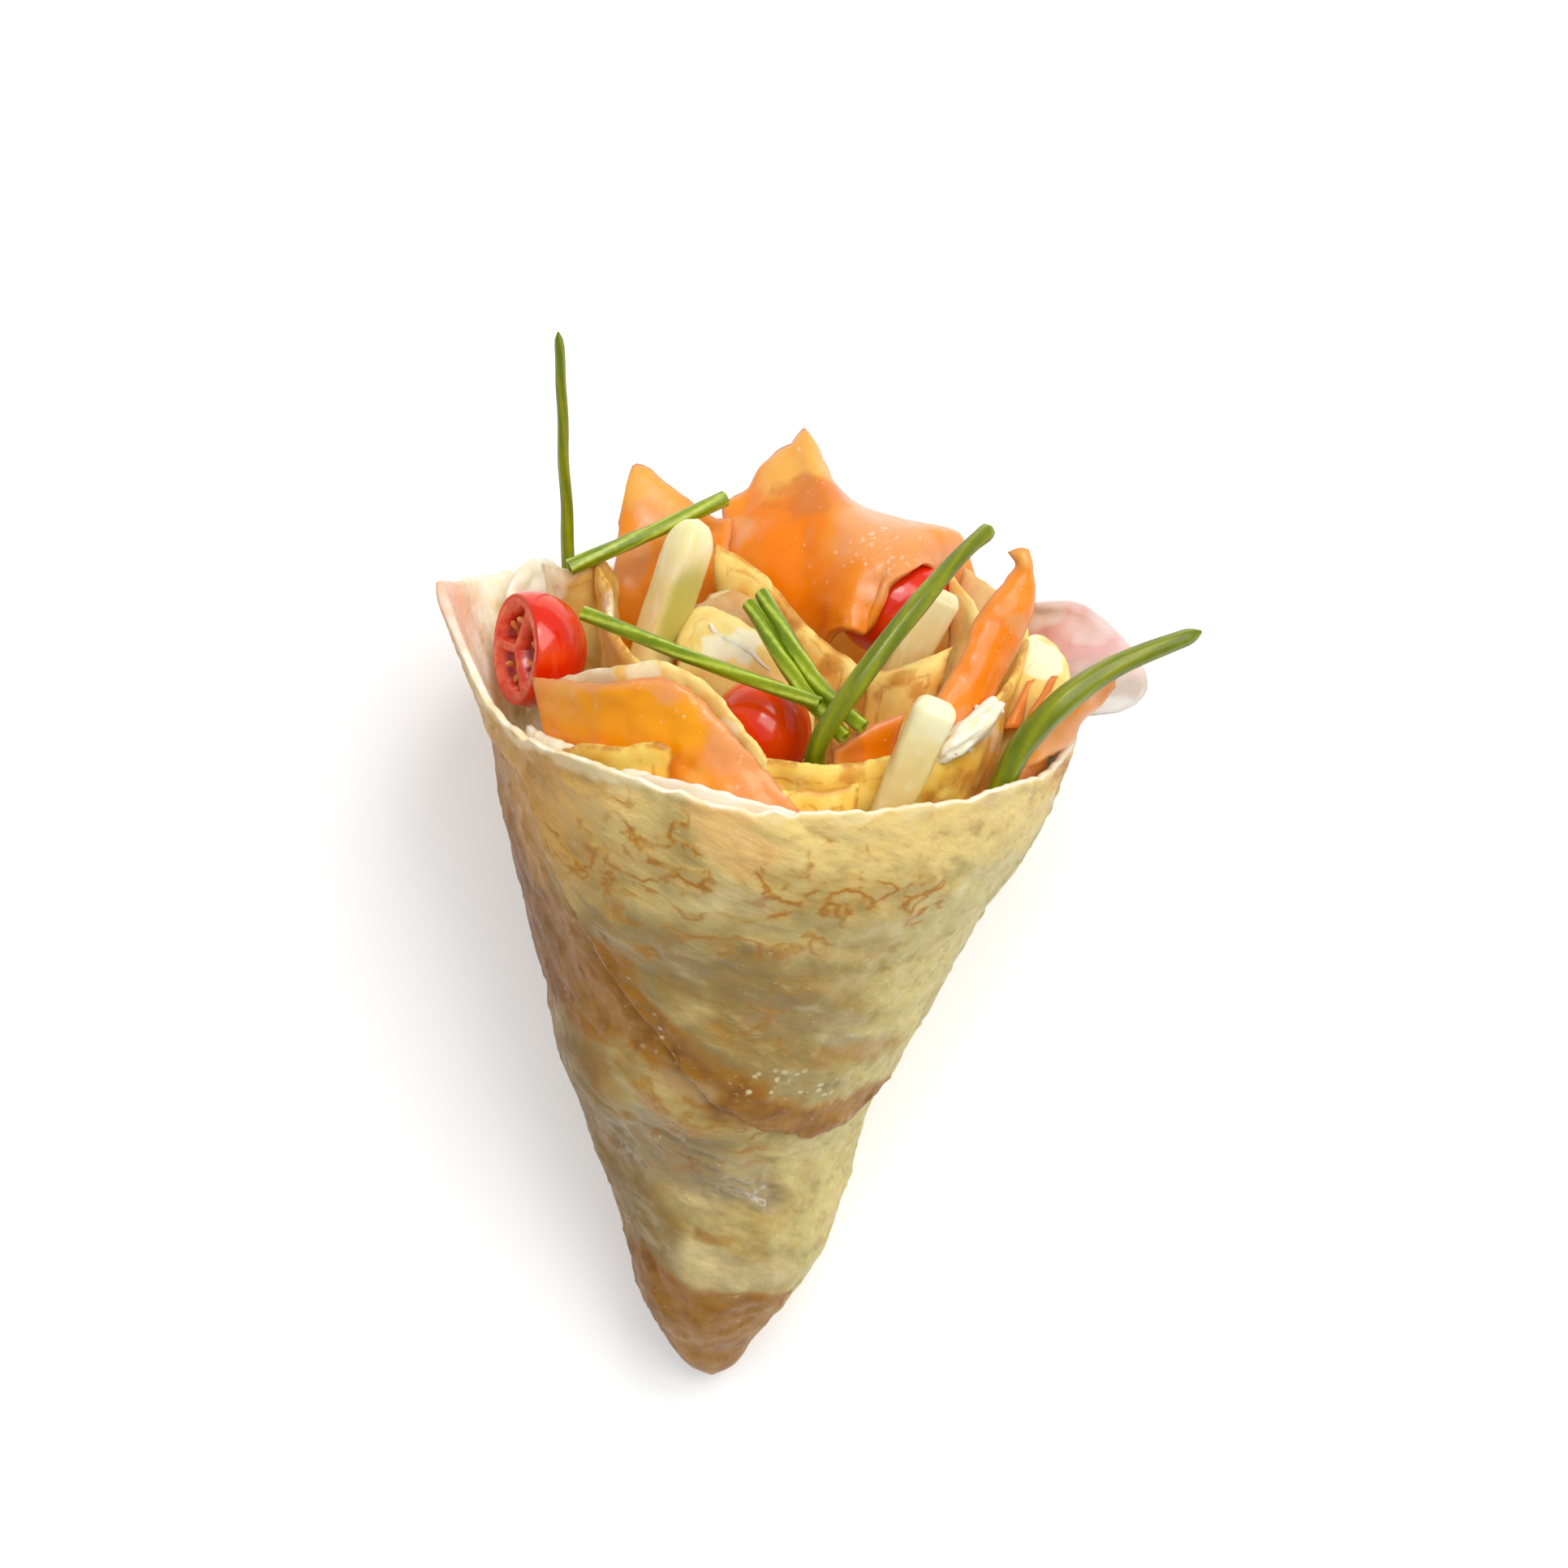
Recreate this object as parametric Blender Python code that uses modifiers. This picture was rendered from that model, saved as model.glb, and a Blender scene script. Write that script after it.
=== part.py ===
"""A savoury crepe rolled into a cone and filled with smoked salmon, cherry tomatoes,
vegetable sticks and chives. It can't stand unheld, so it lies on its back: +Y runs from
the tip to the mouth, +Z is the side that shows, and the underside is pressed flat.

The fillings are placed in the mouth's own coordinates, in millimetres: x to the right,
f from the back wall towards the front wall, u out of the mouth along the cone's axis.
"""

import math

import bmesh
import bpy
from mathutils import Matrix, Vector, noise

MM = 0.001

# Driving sizes of the cone
MOUTH_RADIUS = 56.6
AXIS_TILT = math.radians(19.5)
CREPE_THICKNESS = 1.9
MOUTH_LEAN = 0.12
MOUTH_FLARE = 0.0055
CAVITY_DEPTH = 28.0
REST_FLAT = 1.4
RELIEF = 0.8
WRAP_STEP = 1.5
WRINKLE_WIDTH = 11.0
WRINKLE_LENGTH = 60.0

# How finely the cone's skin is divided
AROUND = 48
OUTER_ROWS = 26
INNER_ROWS = 4
FLOOR_ROWS = 2

# Thicknesses and clearances of the fillings
FOLD_THICKNESS = 1.7
SALMON_THICKNESS = 1.8
HAM_THICKNESS = 1.3
CHIVE_RADIUS = 1.35
CREAM_SIZE = Vector((1.7, 6.4, 3.6))
GAP = 0.32
SHARPEST_SWELL = 1.6

# The cone's sections: distance from the mouth's centre, sideways place of the axis, radius
SECTIONS = [
    (-136.5, -14.5, 0.5),
    (-133.5, -14.6, 5.1),
    (-127.3, -15.0, 9.5),
    (-118.5, -13.8, 15.4),
    (-109.1, -11.8, 19.6),
    (-98.5, -10.8, 22.6),
    (-87.0, -11.7, 26.2),
    (-77.2, -11.4, 29.4),
    (-67.5, -10.9, 33.8),
    (-51.5, -8.0, 39.4),
    (-38.9, -6.0, 44.2),
    (-23.3, -2.3, 50.7),
    (-8.0, -0.2, 55.1),
    (0.0, 0.0, 56.6),
    (19.0, 0.5, 64.0),
    (35.0, 1.0, 70.0),
]

# The rim's height over the mouth, by the angle from the front, with a pointed flap at the left
RIM = [
    (-180.0, 6.0),
    (-150.0, 8.5),
    (-135.0, 10.0),
    (-112.0, 15.5),
    (-98.0, 19.5),
    (-88.0, 12.0),
    (-75.0, 2.8),
    (-60.0, 1.0),
    (-30.0, 0.4),
    (-10.0, -3.4),
    (0.0, -4.3),
    (30.0, -5.0),
    (60.0, -6.4),
    (90.0, -5.0),
    (112.0, 0.5),
    (135.0, 6.5),
    (180.0, 6.0),
]

# Where the outer wrap ends on the cone: the angle from the front, distance from the mouth's centre
WRAP_EDGE = [
    (-180.0, 60.0),
    (-96.0, 20.0),
    (-80.0, -1.0),
    (-58.0, -8.0),
    (-49.0, -24.0),
    (-39.0, -38.0),
    (-18.0, -56.0),
    (2.0, -68.0),
    (34.0, -76.0),
    (60.0, -74.0),
    (95.0, -64.0),
    (140.0, -56.0),
    (180.0, -54.0),
]


def between(table, key):
    """The values of a table at a key, on a smooth curve through its rows."""
    if key <= table[0][0]:
        return table[0][1:]
    if key >= table[-1][0]:
        return table[-1][1:]
    row = next(i for i in range(len(table) - 1) if key <= table[i + 1][0])
    before, low = table[max(row - 1, 0)], table[row]
    high, after = table[row + 1], table[min(row + 2, len(table) - 1)]
    width = high[0] - low[0]
    t = (key - low[0]) / width
    values = []
    for column in range(1, len(low)):
        leaving = (high[column] - before[column]) / (high[0] - before[0]) * width
        arriving = (after[column] - low[column]) / (after[0] - low[0]) * width
        values.append(
            (2 * t**3 - 3 * t**2 + 1) * low[column]
            + (t**3 - 2 * t**2 + t) * leaving
            + (3 * t**2 - 2 * t**3) * high[column]
            + (t**3 - t**2) * arriving
        )
    return values


def along(points, share):
    """The point at a share of the way along a smooth curve through the points."""
    place = share * (len(points) - 1)
    table = [(i, *point) for i, point in enumerate(points)]
    return Vector(between(table, place))


def smoothstep(low, high, value):
    t = min(max((value - low) / (high - low), 0.0), 1.0)
    return t * t * (3 - 2 * t)


def cone_point(angle, reach, inwards=0.0):
    """A point of the cone's skin, in mm from the mouth's centre over the floor."""
    sideways, radius = between(SECTIONS, reach)
    turn = math.radians(angle)
    ring_height = max(radius, 4.2) * math.cos(AXIS_TILT)
    radius = max(radius - inwards, 0.2)
    front = radius * math.cos(turn)
    return Vector(
        (
            sideways + radius * math.sin(turn),
            reach - front * math.sin(AXIS_TILT),
            ring_height + front * math.cos(AXIS_TILT),
        )
    )


def relief(angle, reach):
    """How far the skin stands out: the outer wrap's thickness, soft dents and slanting wrinkles."""
    turn = math.radians(angle)
    spot = Vector((math.sin(turn) * 1.6, math.cos(turn) * 1.6, reach / 24.0))
    swell = noise.noise(spot) + 0.5 * noise.noise(spot * 2.3)
    across = (reach + 0.8 * angle) / WRINKLE_WIDTH
    wrinkle = noise.noise(Vector((across, (reach - 0.8 * angle) / WRINKLE_LENGTH, 3.0)))
    edge = between(WRAP_EDGE, angle)[0]
    wrap = smoothstep(edge - 3.0, edge + 3.0, reach)
    underside = smoothstep(150.0, 120.0, abs(angle))
    tip = smoothstep(-136.0, -120.0, reach)
    return (RELIEF * (swell + wrinkle) + WRAP_STEP * (wrap - 0.5)) * underside * tip


def rim_reach(angle):
    turn = math.radians(angle)
    wave = noise.noise(Vector((math.sin(turn) * 4.0, math.cos(turn) * 4.0, 7.0)))
    return between(RIM, angle)[0] + 1.1 * wave


def on_floor(point):
    """Presses the underside flat: the skin sinks a little and stops at the floor."""
    return Vector((point.x, point.y, max(point.z - REST_FLAT, 0.0)))


def mouth_point(x, f, u):
    """A filling's point, from the mouth's coordinates to mm from the mouth's centre."""
    rise = u * math.sin(AXIS_TILT)
    reach = u * math.cos(AXIS_TILT)
    if u <= 0:
        sideways, radius = between(SECTIONS, reach)
        scale = radius / MOUTH_RADIUS
        height = radius * math.cos(AXIS_TILT)
    else:
        sideways = MOUTH_LEAN * u
        scale = 1 + MOUTH_FLARE * u
        height = MOUTH_RADIUS * math.cos(AXIS_TILT) + rise
    return Vector(
        (
            sideways + scale * x,
            reach - scale * f * math.sin(AXIS_TILT),
            height - REST_FLAT + scale * f * math.cos(AXIS_TILT),
        )
    )


def colour(name, rgb, roughness):
    """A plain material with the piece's colour."""
    material = bpy.data.materials.new(name)
    material.use_nodes = True
    shader = material.node_tree.nodes["Principled BSDF"]
    shader.inputs["Base Color"].default_value = (*rgb, 1.0)
    shader.inputs["Roughness"].default_value = roughness
    shader.inputs["Metallic"].default_value = 0.0
    return material


def new_object(name, mesh, material, origin):
    """Links a mesh object, parented to the origin's empty."""
    obj = bpy.data.objects.new(name, mesh)
    bpy.data.collections["Crepe"].objects.link(obj)
    obj.data.materials.append(material)
    obj.parent = origin
    return obj


def mesh_of(name, rings):
    """A closed skin through rings of points, with a pole at each end."""
    sketch = bmesh.new()
    rows = [[sketch.verts.new(point * MM) for point in ring] for ring in rings]
    count = len(rows[0])
    for low, high in zip(rows, rows[1:]):
        for i in range(count):
            j = (i + 1) % count
            sketch.faces.new((low[i], low[j], high[j], high[i]))
    for ring, flip in ((rows[0], True), (rows[-1], False)):
        middle = sum((v.co for v in ring), Vector()) / count
        pole = sketch.verts.new(middle)
        for i in range(count):
            corners = (ring[i], ring[(i + 1) % count], pole)
            sketch.faces.new(corners[::-1] if flip else corners)
    bmesh.ops.recalc_face_normals(sketch, faces=sketch.faces)
    mesh = bpy.data.meshes.new(name)
    sketch.to_mesh(mesh)
    sketch.free()
    mesh.shade_smooth()
    return mesh


def make_cone(material, origin):
    """The outer crepe: a closed cone with a wavy rim, and a cavity where the fillings stand."""
    angles = [-180.0 + 360.0 * i / AROUND for i in range(AROUND)]
    tip = SECTIONS[0][0]
    floor = -CAVITY_DEPTH * math.cos(AXIS_TILT)
    rings = []
    for row in range(OUTER_ROWS + 1):
        share = (row / OUTER_ROWS) ** 0.9
        ring = []
        for angle in angles:
            reach = tip + (rim_reach(angle) - 0.6 - tip) * share
            ring.append(on_floor(cone_point(angle, reach, -relief(angle, reach))))
        rings.append(ring)
    rim = []
    for angle in angles:
        reach = rim_reach(angle)
        inwards = CREPE_THICKNESS / 2 - relief(angle, reach)
        rim.append(on_floor(cone_point(angle, reach, inwards)))
    rings.append(rim)
    for row in range(INNER_ROWS + 1):
        share = row / INNER_ROWS
        ring = []
        for angle in angles:
            top = rim_reach(angle) - 0.6
            reach = top + (floor - top) * share
            inwards = CREPE_THICKNESS - relief(angle, reach) * (1 - share)
            point = cone_point(angle, reach, inwards)
            least = CREPE_THICKNESS + REST_FLAT
            ring.append(Vector((point.x, point.y, max(point.z, least) - REST_FLAT)))
        rings.append(ring)
    for row in range(1, FLOOR_ROWS):
        narrowing = 1 - row / FLOOR_ROWS
        middle = sum(rings[OUTER_ROWS + 2 + INNER_ROWS], Vector()) / AROUND
        outline = rings[OUTER_ROWS + 2 + INNER_ROWS]
        rings.append([middle + (point - middle) * narrowing for point in outline])
    return new_object("crepe_cone", mesh_of("crepe_cone", rings), material, origin)


def make_sheet(name, guides, thickness, columns, rows, material, origin, ruffle=0.5):
    """A soft slice or fold: a surface through guide lines, from low to high, made solid."""
    sketch = bmesh.new()
    grid = []
    seed = sum(ord(letter) for letter in name)
    for row in range(rows):
        rise = row / (rows - 1)
        line = []
        for column in range(columns):
            across = column / (columns - 1)
            x, f, u = along([along(guide, across) for guide in guides], rise)
            wave = noise.noise(Vector((x / 7.0, f / 7.0 + seed, u / 9.0)))
            line.append(mouth_point(x, f + ruffle * wave * 2, u))
        grid.append(line)
    verts = [[sketch.verts.new(point * MM) for point in line] for line in grid]
    for low, high in zip(verts, verts[1:]):
        for i in range(columns - 1):
            sketch.faces.new((low[i], low[i + 1], high[i + 1], high[i]))
    mesh = bpy.data.meshes.new(name)
    sketch.to_mesh(mesh)
    sketch.free()
    sheet = new_object(name, mesh, material, origin)
    solidify = sheet.modifiers.new("Thickness", "SOLIDIFY")
    solidify.thickness = thickness * MM
    solidify.offset = 0.0
    solidify.use_even_offset = True
    return sheet


def make_chive(name, points, radii, material, origin):
    """A chive: a thin round blade along a smooth curve, with its own radius along the way."""
    steps = 11
    curve = bpy.data.curves.new(name, "CURVE")
    curve.dimensions = "3D"
    curve.bevel_depth = CHIVE_RADIUS * MM
    curve.bevel_resolution = 2
    curve.use_fill_caps = True
    spline = curve.splines.new("POLY")
    spline.points.add(steps)
    for step, knot in enumerate(spline.points):
        share = step / steps
        place = mouth_point(*along(points, share)) * MM
        knot.co = (*place, 1.0)
        knot.radius = along([(radius,) * 3 for radius in radii], share).x
    obj = bpy.data.objects.new(name, curve)
    bpy.data.collections["Crepe"].objects.link(obj)
    graph = bpy.context.evaluated_depsgraph_get()
    mesh = bpy.data.meshes.new_from_object(obj.evaluated_get(graph))
    bpy.data.objects.remove(obj)
    sketch = bmesh.new()
    sketch.from_mesh(mesh)
    bmesh.ops.remove_doubles(sketch, verts=sketch.verts, dist=0.00001)
    sketch.to_mesh(mesh)
    sketch.free()
    mesh.materials.clear()
    return new_object(name, mesh, material, origin)


def make_stick(name, top, foot, width, turn, material, origin):
    """A vegetable stick: a square bar with rounded edges, narrower at its foot."""
    start, end = mouth_point(*foot), mouth_point(*top)
    length = (end - start).length
    bpy.ops.mesh.primitive_cube_add(size=1.0)
    bar = bpy.context.object
    mesh = bar.data
    for vert in mesh.vertices:
        taper = 1.0 if vert.co.z > 0 else 0.8
        size = Vector((width * taper, width * taper, length)) * MM
        vert.co = vert.co * size
    bpy.data.objects.remove(bar)
    stick = new_object(name, mesh, material, origin)
    direction = (end - start).to_track_quat("Z", "Y").to_matrix().to_4x4()
    stick.matrix_local = (
        Matrix.Translation((start + end) / 2 * MM) @ direction @ Matrix.Rotation(turn, 4, "Z")
    )
    bevel = stick.modifiers.new("Rounded edges", "BEVEL")
    bevel.width = width * 0.28 * MM
    bevel.segments = 3
    bevel.limit_method = "NONE"
    return stick


def make_tomato(name, centre, radius, stretch, material, origin):
    """A whole cherry tomato: a ball, a little longer one way."""
    bpy.ops.mesh.primitive_uv_sphere_add(segments=18, ring_count=11, radius=radius * MM)
    ball = bpy.context.object
    mesh = ball.data
    mesh.transform(Matrix.Diagonal((*stretch, 1.0)))
    mesh.shade_smooth()
    bpy.data.objects.remove(ball)
    tomato = new_object(name, mesh, material, origin)
    tomato.location = mouth_point(*centre) * MM
    return tomato


def cut_tomato(tomato, facing, distance, radius):
    """Cuts a slice off a tomato and hollows its seed chambers in the cut face."""
    sketch = bmesh.new()
    sketch.from_mesh(tomato.data)
    facing = facing.normalized()
    cut = bmesh.ops.bisect_plane(
        sketch,
        geom=sketch.verts[:] + sketch.edges[:] + sketch.faces[:],
        plane_co=facing * distance * MM,
        plane_no=facing,
        clear_outer=True,
    )
    edges = [part for part in cut["geom_cut"] if isinstance(part, bmesh.types.BMEdge)]
    bmesh.ops.edgeloop_fill(sketch, edges=edges)
    sketch.to_mesh(tomato.data)
    sketch.free()
    for side in (-1, 1):
        bpy.ops.mesh.primitive_uv_sphere_add(segments=12, ring_count=8, radius=1.0)
        pit = bpy.context.object
        pit.name = f"seed_chamber_{side}"
        size = Matrix.Diagonal((radius * 0.27 * MM, radius * 0.5 * MM, radius * 0.24 * MM, 1.0))
        turn = facing.to_track_quat("Z", "Y").to_matrix().to_4x4()
        offset = Vector((side * radius * 0.38, 0.0, distance)) * MM
        pit.data.transform(turn @ Matrix.Translation(offset) @ size)
        pit.parent = tomato.parent
        pit.location = tomato.location
        carve(tomato, pit)
        bpy.data.objects.remove(pit)


def evaluated(obj):
    """The object's mesh with its modifiers applied."""
    graph = bpy.context.evaluated_depsgraph_get()
    return bpy.data.meshes.new_from_object(obj.evaluated_get(graph))


def largest_piece(mesh):
    """Drops the loose scraps that a cut leaves, and keeps the largest body."""
    sketch = bmesh.new()
    sketch.from_mesh(mesh)
    left = set(sketch.faces)
    bodies = []
    while left:
        start = left.pop()
        body, front = [start], [start]
        while front:
            for edge in front.pop().edges:
                for face in edge.link_faces:
                    if len(edge.link_faces) == 2 and face in left:
                        left.remove(face)
                        body.append(face)
                        front.append(face)
        bodies.append(body)
    bodies.sort(key=lambda body: -sum(face.calc_area() for face in body))
    scraps = [face for body in bodies[1:] for face in body]
    bmesh.ops.delete(sketch, geom=scraps, context="FACES")
    loose = [vert for vert in sketch.verts if not vert.link_faces]
    bmesh.ops.delete(sketch, geom=loose, context="VERTS")
    sketch.to_mesh(mesh)
    sketch.free()


def carve(obj, cutter):
    """Cuts the cutter out of the object and applies the cut."""
    modifier = obj.modifiers.new("Cut", "BOOLEAN")
    modifier.operation = "DIFFERENCE"
    modifier.solver = "EXACT"
    modifier.use_self = True
    modifier.object = cutter
    mesh = evaluated(obj)
    obj.modifiers.clear()
    obj.data = mesh
    largest_piece(mesh)


def swollen(obj):
    """A cutter a gap larger all round than the piece."""
    mesh = evaluated(obj)
    sketch = bmesh.new()
    sketch.from_mesh(mesh)
    bmesh.ops.recalc_face_normals(sketch, faces=sketch.faces)
    sketch.normal_update()
    moved = [
        v.co + v.normal * min(v.calc_shell_factor(), SHARPEST_SWELL) * GAP * MM
        for v in sketch.verts
    ]
    for vert, place in zip(sketch.verts, moved):
        vert.co = place
    sketch.to_mesh(mesh)
    sketch.free()
    cutter = bpy.data.objects.new(obj.name + "_cutter", mesh)
    bpy.data.collections["Cutters"].objects.link(cutter)
    cutter.parent = obj.parent
    cutter.matrix_local = obj.matrix_local
    cutter.hide_render = True
    cutter.display_type = "WIRE"
    return cutter


def box_of(obj):
    corners = [obj.matrix_world @ Vector(corner) for corner in obj.bound_box]
    low = Vector([min(corner[axis] for corner in corners) for axis in range(3)])
    high = Vector([max(corner[axis] for corner in corners) for axis in range(3)])
    return low, high


def boxes_meet(first, second):
    (low_a, high_a), (low_b, high_b) = first, second
    return all(low_a[i] < high_b[i] and low_b[i] < high_a[i] for i in range(3))


def fit_together(pieces):
    """Each piece gives way, with a gap, to those before it in the list."""
    placed = []
    for piece in pieces:
        bpy.context.view_layer.update()
        cutter = swollen(piece)
        bpy.context.view_layer.update()
        reach = box_of(cutter)
        for other in placed:
            if boxes_meet(reach, box_of(other)):
                carve(piece, other)
        placed.append(cutter)
    for cutter in placed:
        bpy.data.objects.remove(cutter)


def make_tomatoes(material, origin):
    halved = make_tomato("tomato_left", (-45.7, 6, 9.6), 10.4, (1.0, 1.05, 1.0), material, origin)
    cut_tomato(halved, Vector((-0.92, 0.0, 0.39)), 3.9, 10.4)
    return [
        halved,
        make_tomato("tomato_centre", (-4.2, 20, -1.7), 9.3, (1.0, 1.05, 1.0), material, origin),
        make_tomato("tomato_right", (18.6, -14, 11.7), 10.0, (1.12, 1.0, 0.95), material, origin),
    ]


def make_sticks(material, origin):
    sticks = {
        "stick_left": ((-16.9, -6, 29.6), (-33.2, 0, -18), 8.6, 38),
        "stick_right": ((24.3, 8, 21.8), (13, 6, -20), 7.0, 8),
        "stick_front": ((24.4, 42, 12.5), (17.5, 46, -24), 7.6, 4),
    }
    return [
        make_stick(name, top, foot, width, math.radians(turn), material, origin)
        for name, (top, foot, width, turn) in sticks.items()
    ]


def make_chives(material, origin):
    blades = {
        "chive_upright": (
            [(-39.9, -22, -20), (-39.6, -20, 16), (-38.6, -18, 33), (-37.7, -16, 49), (-37, -14, 64)],
            (1.0, 1.0, 0.8, 0.75, 0.6),
        ),
        "chive_back": (
            [(-38.6, -8, 21), (-25.1, -13, 26), (-12.8, -20, 30.5)],
            (1.35, 1.3, 1.35),
        ),
        "chive_left": (
            [(-35.4, 14, 19.5), (-16, 23, 13.4), (5.2, 33, 8.2)],
            (1.0, 1.0, 1.0),
        ),
        "chive_centre_upper": (
            [(-6, 10, 21.9), (3.9, 26.5, 10.8), (13.4, 36, 4.6)],
            (1.0, 1.1, 1.0),
        ),
        "chive_centre_lower": (
            [(-8, 11.5, 20.4), (1.6, 27.5, 9.8), (10.4, 37.3, 3)],
            (1.0, 1.1, 1.0),
        ),
        "chive_diagonal": (
            [(5.6, 37, -6), (5.9, 39, 2.6), (10.4, 37, 13.6), (18.1, 27, 25.4), (24.5, 17, 32.6),
             (28.1, 12, 35.4)],
            (1.2, 1.3, 1.4, 1.35, 1.1, 0.9),
        ),
        "chive_right": (
            [(38.5, 31, -20), (40.6, 33, -8), (45.6, 31, 5), (54.1, 25, 12.5), (67.3, 19, 17.6)],
            (1.2, 1.4, 1.7, 1.5, 0.9),
        ),
    }
    return [
        make_chive(name, points, radii, material, origin)
        for name, (points, radii) in blades.items()
    ]


def make_cream(material, origin):
    """The dab of cream cheese on the right: a lumpy ridge."""
    bpy.ops.mesh.primitive_uv_sphere_add(segments=14, ring_count=9, radius=1.0)
    ball = bpy.context.object
    mesh = ball.data
    for vert in mesh.vertices:
        lump = 1 + 0.25 * noise.noise(vert.co * 2.2 + Vector((3.0, 0.0, 0.0)))
        vert.co = vert.co * CREAM_SIZE * lump * MM
    bpy.data.objects.remove(ball)
    cream = new_object("cream_right", mesh, material, origin)
    start, end = mouth_point(30.2, 30.5, -3.0), mouth_point(38.6, 19.5, 2.5)
    turn = (end - start).to_track_quat("Y", "Z").to_matrix().to_4x4()
    cream.matrix_local = Matrix.Translation((start + end) / 2 * MM) @ turn
    return cream


def make_salmon(material, origin):
    slices = {
        "salmon_back": (
            [
                [(-13, -27, -18), (-7, -24, -16), (-1, -20, -12), (4, -12, -4), (7.5, -4, 8.5),
                 (10.2, 0, 11.4), (13.5, 1, 10), (14.6, -1, 14.8), (15.6, -3, 18.6), (18.8, -5, 21.2),
                 (22, -9, 23), (25, -17, 18), (29, -22, 9), (34, -20, 5)],
                [(-13, -22, 14), (-8, -18, 16), (-3, -15, 16.5), (2, -13, 18), (6, -11, 21),
                 (9, -10, 23.5), (12, -10, 24.5), (14.5, -11, 25), (17, -12, 25.5), (20, -14, 25.5),
                 (24, -18, 24.5), (28, -22, 21), (31, -23, 15), (35, -21, 9)],
                [(-13.2, -30, 27.8), (-9.6, -32, 28.6), (-6.4, -34, 34.2), (-2.6, -35, 37),
                 (-0.6, -36, 39.2), (1.6, -36, 34.6), (3.8, -35, 30), (7, -34, 26.6), (11, -33, 24.2),
                 (16.4, -32, 22.8), (22, -30, 21.5), (28, -28, 19.5), (32, -24, 15), (36.5, -20, 12.8)],
            ],
            27,
            6,
        ),
        "salmon_back_left": (
            [
                [(-34, -28, -26), (-24, -30, -26), (-14, -30, -26)],
                [(-33, -20, 8), (-24, -18, 10), (-15, -17, 12)],
                [(-29.8, -25, 25), (-28.0, -29, 34.5), (-21.4, -28, 30.2), (-14, -25, 23)],
            ],
            9,
            7,
        ),
        "salmon_front_left": (
            [
                [(-43, 22, -24), (-34, 33, -24), (-20, 43, -24), (-9, 47, -24), (2, 48, -24)],
                [(-44, 23, -4), (-35, 33, -4), (-21, 43, -4), (-10, 47, -8), (2.6, 48.5, -14)],
                [(-44.6, 21, 9.4), (-32, 33, 12.6), (-20, 36, 14.6), (-8, 43, 4.6), (3, 48.5, -7.4)],
            ],
            14,
            7,
        ),
        "salmon_right": (
            [
                [(18, 27, -20), (22, 28, -20), (26, 26, -20)],
                [(24.6, 27, 3.5), (28.9, 27.5, 1.5), (33, 24, -0.5)],
                [(28.2, 21.5, 12.3), (32.8, 22.5, 9.5), (37.2, 18, 6.4)],
                [(29.8, 16, 20.2), (34.4, 17, 17.8), (39.1, 13, 15.1)],
                [(33.1, 11.5, 25), (36.2, 12.5, 22.8), (39.2, 11, 20)],
                [(34.0, 10, 27.5), (35.4, 10.5, 27.5), (36.9, 10, 26.9)],
                [(32.3, 9, 29.6), (33.6, 9, 30.6), (35.2, 9, 30.4)],
            ],
            7,
            13,
        ),
        "salmon_right_rim": (
            [
                [(38, 34, -24), (40, 30, -24), (42, 24, -24), (44, 17, -24)],
                [(39, 35, -8), (41, 32, -8), (44.5, 24, -6), (48, 16, -3)],
                [(41.4, 38, -4.7), (43.8, 34, -2.5), (47.6, 24, 1), (53.6, 17, 5.3)],
                [(48.5, 29.5, -5.5), (51.7, 22, -4.4), (55.4, 14, -3.1), (60.4, 9, 2.6)],
            ],
            7,
            7,
        ),
        "salmon_centre": (
            [
                [(10, 36, -18), (14, 36, -18), (19, 35, -18)],
                [(8.5, 36.5, 0.6), (13.5, 35, 3.6), (20.5, 31.5, 6.8)],
            ],
            6,
            5,
        ),
        "salmon_shred_low": ([[(41.5, 12, -4), (44.5, 12, -4)], [(44.0, 9, 5), (45.2, 9, 5)]], 3, 5),
        "salmon_shred_high": ([[(44, 16, -6), (47, 14, -6)], [(47.6, 10, 6), (48.9, 10, 6)]], 3, 5),
    }
    return [
        make_sheet(name, guides, SALMON_THICKNESS, columns, rows, material, origin)
        for name, (guides, columns, rows) in slices.items()
    ]


def make_ham(material, origin):
    guides = [
        [(44, -24, -24), (47, -19, -24), (49, -13, -24), (50, -7, -24), (50.5, 0, -24)],
        [(44.5, -23, 4), (49, -18, 3), (52, -11, 0), (53, -4, -4), (53, 3, -6)],
        [(44, -18, 11), (51.6, -15, 12), (61, -7, 7.6), (67.8, 1, 1.6), (66, 5, -2), (58, 7, -3)],
    ]
    return make_sheet("ham_slice", guides, HAM_THICKNESS, 13, 7, material, origin)


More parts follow.
